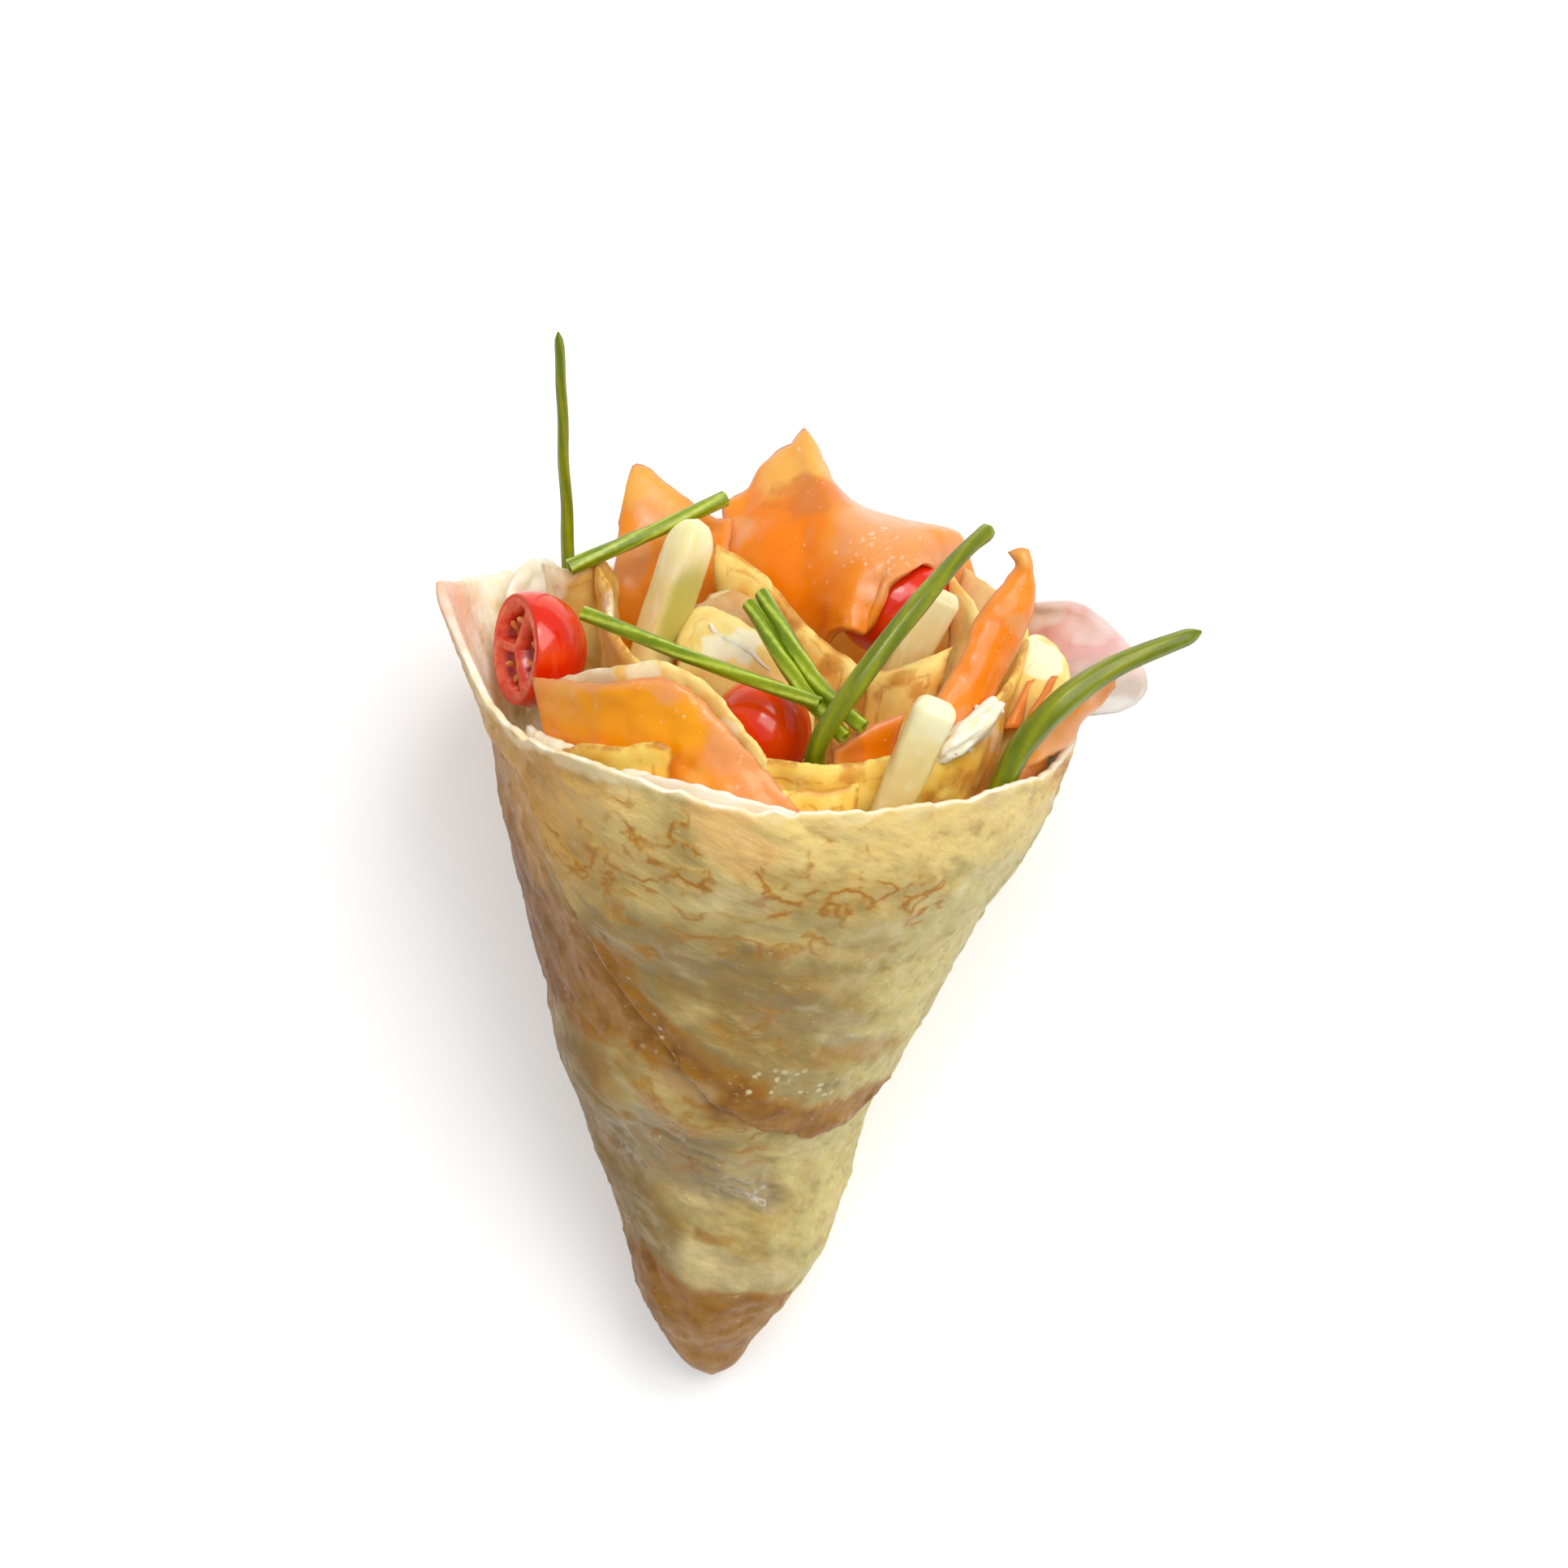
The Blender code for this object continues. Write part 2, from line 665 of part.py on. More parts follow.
def make_folds(material, origin):
    deep = -CAVITY_DEPTH + 0.4
    ring = [(-8, 38), (5, 42.5), (14, 41.5), (24, 37), (33.4, 28), (38.5, 18), (41.6, 6), (42, -8)]
    ring += [(38, -25), (26, -38), (9, -46), (-12, -47), (-30, -38)]
    ring_tops = [0, 0, 0, 0.8, 2.8, 6.2, 9.4, 10.5, 9.5, 8.5, 8, 8, 7]
    folds = {
        "fold_ring": (
            [[(x, f, deep) for x, f in ring], [(x, f, top) for (x, f), top in zip(ring, ring_tops)]],
            28,
            3,
        ),
        "fold_front": (
            [
                [(-6, 46, -20), (4, 47.5, -20), (13.5, 46, -20)],
                [(-6, 46, -3.4), (4, 47.5, -3.6), (13.5, 46, -3)],
            ],
            6,
            3,
        ),
        "fold_front_left": (
            [
                [(-40, 15, deep), (-30, 23, deep), (-20, 28, deep), (-10, 36, deep), (-4, 41, deep)],
                [(-41, 15, 7.2), (-30, 24, 13), (-21, 27, 14.6), (-13, 31, 10.5), (-7, 36, 4), (-3, 41, 0)],
            ],
            12,
            4,
        ),
        "fold_left": (
            [
                [(-44, -22, deep), (-38, -15, deep), (-32, -15, deep)],
                [(-45, -14, 21.6), (-39, -10, 21.2), (-33.5, -12, 21.2), (-31, -16, 17)],
            ],
            7,
            6,
        ),
        "fold_curl": (
            [
                [(-33, -8, deep), (-33, 2, deep), (-27, 10, deep), (-18, 17, deep), (-13, 24, deep)],
                [(-33.4, -7, 20.4), (-31.5, 0, 13), (-27, 8, 8.5), (-18, 16, 9.0), (-12.5, 23.5, 6.6)],
            ],
            10,
            4,
        ),
        "fold_diagonal": (
            [
                [(-14, -10, deep), (-4, -2, deep), (5, 8, deep), (12, 15, deep)],
                [(-14, -10, 16), (-4, -2.5, 11.5), (5, 8.5, 5), (12, 15, 2)],
                [(-14.3, -12, 24.8), (-5.8, -6, 20.4), (3.3, 4, 12.9), (12.5, 12, 8.5)],
            ],
            9,
            6,
        ),
        "fold_right_band": (
            [
                [(14, 19, deep), (20, 20, deep), (26, 19, deep)],
                [(14, 18, 2), (20, 19, 4), (27, 18, 6)],
                [(12.7, 14, 7.4), (19.5, 16, 10), (27.2, 15, 13.4)],
            ],
            7,
            6,
        ),
        "fold_centre": (
            [
                [(-19, 6, deep), (-9, 8, deep), (1, 12, deep)],
                [(-19.5, 4, 6), (-9, 7, 8), (1.5, 12, 5)],
                [(-20, -2, 10.5), (-12, -1.5, 13.6), (-3, 2, 12.6), (4, 9, 8)],
            ],
            8,
            5,
        ),
        "fold_centre_back": (
            [
                [(-18, -5, deep), (-9, -0.5, deep), (-1, 5.5, deep)],
                [(-17.5, -8, 14), (-10, -5, 17.4), (-2.5, 0, 14)],
            ],
            7,
            4,
        ),
        "fold_back_right": (
            [
                [(29, -8, deep), (33, -5, deep), (37, -8, deep)],
                [(30, -10, 2), (33, -6, 3), (36, -8, 5)],
                [(26.3, -14, 18.6), (29.8, -9, 16.3), (33.4, -6, 12.4), (36, -9, 12)],
            ],
            7,
            7,
        ),
        "fold_right_flap": (
            [
                [(41, 4, -24), (44, 4, -24), (47, 6, -24)],
                [(41, 8, -2), (44.5, 9, -2), (48, 12, -2)],
                [(41.8, 3, 6), (45, 6, 5), (49.2, 9, 3.4), (52, 12, 1)],
                [(42.2, -4, 6.8), (44.3, -8, 8), (48, -4, 7.6), (51.4, 3, 4.8)],
            ],
            7,
            6,
        ),
        "fold_tab": (
            [
                [(-42, 30, -16), (-33, 39.5, -16), (-23, 46, -16), (-13, 48, -16)],
                [(-43, 31, -0.6), (-37, 37, 1.2), (-27.4, 42.5, 3.2), (-21, 45, 4.6), (-13, 45, 0)],
            ],
            10,
            4,
        ),
    }
    return [
        make_sheet(name, guides, FOLD_THICKNESS, columns, rows, material, origin)
        for name, (guides, columns, rows) in folds.items()
    ]


def start_empty_scene():
    for obj in list(bpy.data.objects):
        bpy.data.objects.remove(obj)
    for name in ("Crepe", "Cutters"):
        collection = bpy.data.collections.new(name)
        bpy.context.scene.collection.children.link(collection)
    origin = bpy.data.objects.new("mouth_centre", None)
    bpy.data.collections["Crepe"].objects.link(origin)
    return origin


def stand_over_origin(origin, pieces):
    """Moves the whole crepe so that the origin is under the middle of its box, at floor level."""
    bpy.context.view_layer.update()
    boxes = [box_of(piece) for piece in pieces]
    low = Vector([min(box[0][axis] for box in boxes) for axis in range(3)])
    high = Vector([max(box[1][axis] for box in boxes) for axis in range(3)])
    origin.location = Vector((-(low.x + high.x) / 2, -(low.y + high.y) / 2, -low.z))


def main():
    origin = start_empty_scene()
    bpy.context.view_layer.update()
    crepe = colour("crepe", (0.62, 0.45, 0.22), 0.55)
    tomato = colour("tomato", (0.72, 0.04, 0.02), 0.2)
    stick = colour("stick", (0.78, 0.74, 0.46), 0.35)
    chive = colour("chive", (0.15, 0.28, 0.02), 0.35)
    salmon = colour("salmon", (0.85, 0.28, 0.07), 0.35)
    ham = colour("ham", (0.80, 0.52, 0.52), 0.3)
    cream = colour("cream", (0.88, 0.80, 0.62), 0.6)
    pieces = [make_cone(crepe, origin)]
    pieces += make_tomatoes(tomato, origin)
    pieces += make_sticks(stick, origin)
    pieces += make_chives(chive, origin)
    pieces += make_salmon(salmon, origin)
    pieces += [make_ham(ham, origin), make_cream(cream, origin)]
    pieces += make_folds(crepe, origin)
    fit_together(pieces)
    stand_over_origin(origin, pieces)


main()
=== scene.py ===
"""A savoury crepe cone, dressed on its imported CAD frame: browned crepe, smoked salmon,
cherry tomatoes, vegetable sticks, chives, ham and cream cheese, under soft studio light.

The shapes are placed as in the part's source, in millimetres from the mouth's centre:
x to the right, f from the back wall to the front wall, u out of the mouth.
"""

import math

import bmesh
import bpy
import numpy as np
from mathutils import Matrix, Vector, noise


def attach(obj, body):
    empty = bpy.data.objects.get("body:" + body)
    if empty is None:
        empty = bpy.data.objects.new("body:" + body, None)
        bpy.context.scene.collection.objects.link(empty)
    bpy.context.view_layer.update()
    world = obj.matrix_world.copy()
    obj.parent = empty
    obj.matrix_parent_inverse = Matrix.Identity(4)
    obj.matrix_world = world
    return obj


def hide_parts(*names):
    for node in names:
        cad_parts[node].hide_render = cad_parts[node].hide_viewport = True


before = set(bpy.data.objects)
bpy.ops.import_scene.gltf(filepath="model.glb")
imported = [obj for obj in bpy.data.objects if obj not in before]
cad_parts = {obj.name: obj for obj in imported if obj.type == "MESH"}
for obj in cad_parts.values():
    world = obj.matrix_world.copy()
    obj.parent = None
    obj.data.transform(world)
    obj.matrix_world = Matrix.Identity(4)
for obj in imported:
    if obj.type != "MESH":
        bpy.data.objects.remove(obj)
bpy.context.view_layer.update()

MM = 0.001
SHIFT = Vector((-6.946, 34.837, 0.0))

# The photograph's camera, straight over the crepe
PICTURE_PIXELS = 1932
FOCAL_PIXELS = 4884
SENSOR_WIDTH = 36.0
CAMERA_PLACE = Vector((-6.946, 16.737, 798.6)) * MM

# Driving sizes of the cone, as in the part's source
MOUTH_RADIUS = 56.6
AXIS_TILT = math.radians(19.5)
CREPE_THICKNESS = 1.9
MOUTH_LEAN = 0.12
MOUTH_FLARE = 0.0055
CAVITY_DEPTH = 28.0
REST_FLAT = 1.4
RELIEF = 0.8
WRAP_STEP = 1.5
WRAP_START = -96.0
WRINKLE_WIDTH = 11.0
WRINKLE_LENGTH = 60.0
WRINKLE_SLANT = 0.8
NARROWEST_FLOOR = 4.2

# How finely the cone's skin is divided
AROUND = 360
UNDER_ROWS = 104
OVER_ROWS = 92
INNER_ROWS = 22
FLOOR_ROWS = 4

# How the rim turns over into the cavity: below its top, and inwards from the skin
ROUNDED_RIM = ((0.12, 0.35), (0.0, 0.95), (0.12, 1.55))

# Thicknesses of the fillings, and how finely their sheets are divided
FOLD_THICKNESS = 1.7
SALMON_THICKNESS = 1.8
HAM_THICKNESS = 1.3
SHEET_STEP = 0.95
SHEET_EDGE = 2.4
SHEET_EDGE_SHARE = 0.28
CHIVE_RADIUS = 1.35
SWEEP_STEPS = 48
CREAM_SIZE = Vector((2.7, 9.2, 3.6))
CREAM_ENDS = ((28.6, 34.0, -2.2), (37.2, 23.4, 4.0))
DEEP = -CAVITY_DEPTH + 0.4
SPOT_SEED = 4

# The cone's sections: distance from the mouth's centre, sideways place of the axis, radius
SECTIONS = [
    (-136.5, -14.5, 0.5), (-133.5, -14.6, 5.1), (-127.3, -15, 9.5), (-118.5, -13.8, 15.4),
    (-109.1, -11.8, 19.6), (-98.5, -10.8, 22.6), (-87, -11.7, 26.2), (-77.2, -11.4, 29.4),
    (-67.5, -10.9, 33.8), (-51.5, -8, 39.4), (-38.9, -6, 44.2), (-23.3, -2.3, 50.7),
    (-8, -0.2, 55.1), (0, 0, 56.6), (19, 0.5, 64), (35, 1, 70),
]

# The rim's height over the mouth, by the angle from the front, with a pointed flap at the left
RIM = [
    (-180, 6), (-150, 8.5), (-135, 10), (-112, 14.8), (-98, 17.4), (-86, 20),
    (-80, 13.8), (-74, 6.4), (-67, 2.2), (-58, 0.9), (-30, 0.4), (-10, -3.4), (0, -4.3),
    (30, -5), (60, -6.4), (90, -5), (112, 0.5), (135, 6.5), (180, 6),
]

# Where the outer wrap ends on the cone: the angle from the front, distance from the mouth's centre
WRAP_EDGE = [
    (-180, 60), (-96, 20), (-80, -1), (-58, -8), (-49, -24), (-39, -38),
    (-18, -56), (2, -68), (34, -76), (60, -74), (95, -64), (140, -56),
    (180, -54),
]

# Marks on the cone, each with half its width in mm, its strength, and the way it runs, as pairs of
# an angle from the front and a distance from the mouth's centre, and the layer if it is on just one
MARKS = {
    # Browned bands
    "brown": [
        (15, 0.95, [(-94, 8), (-80, -10), (-76, -24), (-70, -36), (-62, -42)], "under"),
        (8, 0.85, [(-70, -40), (-62, -46), (-50, -49), (-42, -51)], "under"),
        (6, 0.95, [(-40, -40), (-32, -47), (-25, -52), (-18, -56), (-6, -62), (5, -66)]),
        (5.5, 0.95, [(-2, -65), (5, -67), (17, -70), (41, -74), (62, -72)], "over"),
        (3, 0.55, [(24, -57), (36, -58), (52, -60)]),
        (4, 0.55, [(84, -20), (92, -28), (98, -42)]),
        (2.5, 0.55, [(66, -8), (80, -13), (88, -21)]),
        (2, 0.55, [(-14, -97), (-8, -98.5), (-3, -98)]),
        (3, 0.5, [(-34, -60), (-28, -66), (-20, -70), (-10, -73)]),
        (3, 0.45, [(-46, -60), (-40, -72)]),
    ],
    # Where brown lace lines are dense
    "lace": [
        (4.5, 1, [(-32, -9), (-29, -15), (-26, -21)]),
        (4.5, 1, [(-20, -10), (-16, -19)]),
        (5, 0.9, [(-47, -14), (-36, -21)]),
        (4.5, 1, [(-3, -19), (8, -25)]),
        (5, 1, [(9, -18), (20, -23), (34, -25)]),
        (3, 0.8, [(8, -5), (13, -11)]),
        (4, 0.7, [(-18, -27), (-4, -31), (11, -31)]),
        (3.5, 0.7, [(-30, -27), (-27, -34)]),
        (6, 0.8, [(76, -10), (86, -20), (92, -34)]),
        (6, 0.6, [(-40, -52), (-20, -64), (10, -76)]),
        (5, 0.5, [(-24, -76), (-8, -80)]),
        (5, 0.5, [(-4, -47), (8, -50)]),
    ],
    # Lilac-grey dents, sunk into the skin and painted darker, partly painted shade in the hollows, with
    # painted glints where they are deepest
    "dent": [
        (8, 0.85, [(-36, -78), (-16, -81), (4, -85)]),
        (4.5, 1, [(2, -86), (12, -88), (20, -90)]),
        (4, 0.35, [(2, -45), (20, -50)]),
        (3.5, 0.35, [(-38, -35), (-20, -36), (-5, -38)]),
    ],
    # Cream-coloured places: the rim, and soft patches lower down
    "pale": [
        (1.5, 1, [(-112, 14.5), (-98, 17), (-86, 19.6), (-80, 13.4), (-74, 6), (-67, 1.8)]),
        (1.5, 1, [(-67, 1.8), (-58, 0.5), (-30, 0), (-12, -3.4)]),
        (1, 0.5, [(-12, -3.4), (0, -4.6), (30, -5.4), (60, -6.6), (90, -5.4), (112, 0)]),
        (4.5, 0.45, [(-19, -103), (4, -106.5), (28, -106)]),
        (3, 0.35, [(-12, -22), (-3, -23)]),
        (3, 0.4, [(-17, -62), (-9, -63)]),
        (4, 0.3, [(28, -52), (40, -56)]),
    ],
    # Light golden places, mostly towards the rim: paler crepe, and partly painted light where the
    # cone's top and right catch the most light
    "light": [
        (7, 0.9, [(-8, -9), (10, -11), (36, -13), (64, -14)]),
        (6, 0.6, [(-44, -8), (-30, -9)]),
        (8, 0.5, [(60, -98), (66, -90)]),
        (6, 0.5, [(54, -42), (56, -54)]),
    ],
    # Olive brown places, partly painted shade where the cone's left and lower parts are darker
    "tan": [
        (9, 0.8, [(-38, -34), (-21, -35), (-5, -38)]),
        (9, 0.8, [(-1, -43), (12, -46), (24, -51)]),
        (8, 0.7, [(-10, -54), (8, -57), (24, -61)]),
        (9, 1, [(-60, -66), (-56, -80), (-48, -95), (-43, -102)]),
        (7, 0.7, [(-32, -78), (-13, -82)]),
        (7, 0.5, [(-62, -56), (-50, -66)]),
        (5, 0.5, [(86, -44), (80, -56)]),
    ],
    # Ochre under the wrap's edge
    "ochre": [
        (4.2, 0.8, [(-67, -10), (-64, -16), (-60, -24), (-58, -28)], "under"),
    ],
    # Salmon that shines through
    "pink": [
        (4, 1, [(64, -9), (76, -8), (90, -7), (104, -4)]),
        (5, 1, [(-12, -4), (-9, -9), (-5, -13)]),
        (5, 0.4, [(-74, -4), (-66, -12)]),
    ],
    # Bubbles in the batter
    "bubbles": [
        (3.5, 1, [(8, -62), (26, -64), (40, -65), (52, -68)], "over"),
        (2.5, 0.7, [(-30, -50), (-19, -57)]),
    ],
}

# Tones of the fillings, each spot in the CAD's millimetres seen from above: x, y, radius, strength
SPOTS = {
    "salmon_back": {
        "light": [(-4, 80, 6, 1), (-8, 76, 5, 0.8)],
        "brownish": [(-3, 72.5, 4.5, 1), (2, 73, 2.5, 0.8), (-9, 71, 3, 0.6)],
        "deep": [(-5.5, 65, 6.5, 1), (-5, 58, 6, 1), (0, 52.5, 5, 0.9), (-12, 70, 3, 0.4)],
        "peach": [
            (9, 65, 7, 1), (17, 60, 7, 1), (12, 55, 5, 0.8),
            (-17, 65, 4, 0.9), (24, 56, 6, 1),
        ],
        "flecks": [(11, 61, 6, 1), (16, 63, 5, 0.7), (8, 66, 4, 0.5)],
    },
    "salmon_back_left": {
        "light": [(-33, 75, 6, 1), (-30, 69, 6, 0.7)],
        "peach": [(-37, 60, 5, 0.9), (-33, 68, 4, 0.8)],
        "deep": [(-28, 58, 5, 0.5)],
    },
    "salmon_front_left": {
        "yellow": [(-44, 31, 6, 0.9), (-36, 30, 6, 1), (-31, 28.5, 6, 1), (-25, 27, 5, 0.8)],
        "peach": [
            (-16.6, 23, 5, 1), (-11, 16, 5, 1), (-8, 11, 4, 0.9), (-20, 30, 3, 0.9),
            (-28, 36, 3.5, 1), (-35, 37, 3, 0.9), (-42, 36, 3, 0.8),
        ],
        "light": [(-46, 34.5, 3, 0.4), (-22, 17, 3, 0.6)],
    },
    "salmon_right": {
        "light": [(36.5, 60, 4, 1)],
        "deep": [(31.6, 43, 5, 0.9), (29.5, 36, 4, 1), (33, 49, 3, 0.5)],
        "peach": [(26.4, 27, 4, 1), (36.5, 46, 2.5, 0.8)],
    },
    "salmon_right_rim": {
        "peach": [(44, 26, 5, 0.9), (52, 35, 5, 1), (38, 16, 4, 1), (48, 28, 3, 0.7)],
        "deep": [(35, 22, 3.5, 0.8), (41, 29, 2.5, 0.5)],
    },
    "salmon_centre": {
        "deep": [(10, 24, 8, 0.8)],
        "brownish": [(5, 22, 3, 0.8), (14, 26, 2.5, 0.6)],
    },
    "fold_ring": {
        "toasts": [
            (-3.5, 17, 2, 0.6), (5, 19, 2.5, 0.7), (20, 13, 3, 0.7),
            (25, 17, 3, 0.6), (34, 34, 2.5, 0.6),
        ],
        "creams": [(30, 27, 3, 0.7), (33, 24, 2.5, 0.6), (-8, 15, 2, 0.5)],
    },
    "fold_diagonal": {
        "toasts": [(-8.6, 51, 2.5, 0.7), (-5, 48, 3, 0.9), (2.7, 39, 3, 0.9), (8, 34, 2.5, 0.5)],
    },
    "fold_right_band": {"toasts": [(15, 36, 2.5, 0.8), (18, 34, 2, 0.7), (11, 33, 1.8, 0.5)]},
    "fold_left": {"creams": [(-52, 55, 4.5, 1), (-47, 57, 2.5, 0.6)]},
    "fold_curl": {
        "toasts": [(-30, 39, 2, 0.6), (-25, 33, 2.5, 0.6)],
        "creams": [(-37, 51, 4.5, 1), (-34, 45, 3, 0.9), (-22, 29, 3, 0.6)],
    },
    "fold_front_left": {
        "creams": [
            (-46, 36, 3, 0.9), (-40, 37, 3.5, 0.9), (-33, 37, 3, 0.7),
            (-18, 26, 2.5, 0.6), (-13, 20, 2, 0.5),
        ],
        "toasts": [(-24, 33, 2, 0.4)],
    },
    "fold_tab": {"toasts": [(-29, 23, 1.6, 0.9), (-45, 23, 1.8, 0.6)]},
    "fold_centre": {
        "creams": [(-14, 43, 3.5, 0.9), (-20, 42, 3, 0.8), (-10, 45, 3, 0.7)],
        # Painted shade: darker spots where the fold lies in shadow under the layers over it
        "shades": [(-9, 38, 4, 0.8), (-23, 37, 4, 0.8)],
    },
    "fold_right_flap": {"creams": [(37, 44, 5.5, 1), (41, 40, 4, 0.9)], "toasts": [(42, 31, 3, 0.4)]},
    "ham_slice": {
        "pinks": [(42, 46, 5, 0.9), (49, 42, 5, 0.7)],
        # Painted highlights: whitish spots where the ham's wet surface shines
        "whites": [(42.4, 51, 4, 0.8), (52, 46, 4, 0.6), (56, 38, 3, 0.6)],
    },
}


def between(table, key):
    """The values of a table at a key, on a smooth curve through its rows."""
    if key <= table[0][0]:
        return table[0][1:]
    if key >= table[-1][0]:
        return table[-1][1:]
    row = next(i for i in range(len(table) - 1) if key <= table[i + 1][0])
    before, low = table[max(row - 1, 0)], table[row]
    high, after = table[row + 1], table[min(row + 2, len(table) - 1)]
    width = high[0] - low[0]
    t = (key - low[0]) / width
    values = []
    for column in range(1, len(low)):
        leaving = (high[column] - before[column]) / (high[0] - before[0]) * width
        arriving = (after[column] - low[column]) / (after[0] - low[0]) * width
        values.append(
            (2 * t**3 - 3 * t**2 + 1) * low[column]
            + (t**3 - 2 * t**2 + t) * leaving
            + (3 * t**2 - 2 * t**3) * high[column]
            + (t**3 - t**2) * arriving
        )
    return values


def along(points, share):
    """The point at a share of the way along a smooth curve through the points."""
    place = share * (len(points) - 1)
    table = [(i, *point) for i, point in enumerate(points)]
    return Vector(between(table, place))


def smoothstep(low, high, value):
    t = min(max((value - low) / (high - low), 0.0), 1.0)
    return t * t * (3 - 2 * t)


def cone_point(angle, reach, inwards=0.0):
    """A point of the cone's skin, in mm from the mouth's centre over the floor."""
    sideways, radius = between(SECTIONS, reach)
    turn = math.radians(angle)
    ring_height = max(radius, NARROWEST_FLOOR) * math.cos(AXIS_TILT)
    radius = max(radius - inwards, 0.2)
    front = radius * math.cos(turn)
    return Vector(
        (
            sideways + radius * math.sin(turn),
            reach - front * math.sin(AXIS_TILT),
            ring_height + front * math.cos(AXIS_TILT),
        )
    )


def shown(angle, reach):
    """How much relief the skin takes: none on the pressed underside and at the tip."""
    underside = smoothstep(150.0, 120.0, abs(angle))
    return underside * smoothstep(-136.0, -120.0, reach)


def relief(angle, reach):
    """How far the skin stands out in soft dents and slanting wrinkles, as in the part's source."""
    turn = math.radians(angle)
    spot = Vector((math.sin(turn) * 1.6, math.cos(turn) * 1.6, reach / 24.0))
    swell = noise.noise(spot) + 0.5 * noise.noise(spot * 2.3)
    across = (reach + WRINKLE_SLANT * angle) / WRINKLE_WIDTH
    length = (reach - WRINKLE_SLANT * angle) / WRINKLE_LENGTH
    wrinkle = noise.noise(Vector((across, length, 3.0)))
    return RELIEF * (swell + wrinkle) * shown(angle, reach)


def rim_reach(angle):
    """The rim's place, with the waves of the part's source and a fine ragged edge."""
    turn = math.radians(angle)
    wave = noise.noise(Vector((math.sin(turn) * 4.0, math.cos(turn) * 4.0, 7.0)))
    rag = noise.noise(Vector((math.sin(turn) * 17.0, math.cos(turn) * 17.0, 2.0)))
    tear = noise.noise(Vector((math.sin(turn) * 48.0, math.cos(turn) * 48.0, 5.0)))
    return between(RIM, angle)[0] + 1.1 * wave + 0.7 * rag + 0.3 * tear


def wrap_row(angle):
    """Where the wrap's edge crosses a column of the skin, and how high its step is there."""
    if angle < WRAP_START:
        share = (angle + 180.0) / (WRAP_START + 180.0)
        return -54.0 + share * (rim_reach(angle) + 52.0), 0.0
    turn = math.radians(angle)
    wave = noise.noise(Vector((math.sin(turn) * 7.0, math.cos(turn) * 7.0, 1.0)))
    rag = noise.noise(Vector((math.sin(turn) * 30.0, math.cos(turn) * 30.0, 4.0)))
    edge = between(WRAP_EDGE, angle)[0] + 1.0 * wave + 0.35 * rag
    top = rim_reach(angle) - 2.0
    return min(edge, top), smoothstep(0.0, 3.0, top - edge + 1.0)


def mouth_point(x, f, u):
    """A filling's point, from the mouth's coordinates to mm from the mouth's centre."""
    rise = u * math.sin(AXIS_TILT)
    reach = u * math.cos(AXIS_TILT)
    if u <= 0:
        sideways, radius = between(SECTIONS, reach)
        scale = radius / MOUTH_RADIUS
        height = radius * math.cos(AXIS_TILT)
    else:
        sideways = MOUTH_LEAN * u
        scale = 1 + MOUTH_FLARE * u
        height = MOUTH_RADIUS * math.cos(AXIS_TILT) + rise
    return Vector(
        (
            sideways + scale * x,
            reach - scale * f * math.sin(AXIS_TILT),
            height - REST_FLAT + scale * f * math.cos(AXIS_TILT),
        )
    )


def kept_inside(x, f, u, thickness):
    """Keeps a filling inside the cone's wall below the rim."""
    rim = between(RIM, math.degrees(math.atan2(x, f)))[0] / math.cos(AXIS_TILT)
    if u > rim + 1.5:
        return x, f
    wall = MOUTH_RADIUS
    if u > 0:
        wall = between(SECTIONS, u * math.cos(AXIS_TILT))[1] / (1 + MOUTH_FLARE * u)
    most = wall - CREPE_THICKNESS - thickness / 2 - 1.6
    distance = math.hypot(x, f)
    if distance <= most:
        return x, f
    return x * most / distance, f * most / distance


def name_seed(name):
    """A number of its own for each piece's noise."""
    return sum(ord(letter) for letter in name)


def paint(red, green, blue):
    """A colour from screen values of 0 to 255."""
    return tuple((value / 255) ** 2.2 for value in (red, green, blue)) + (1.0,)


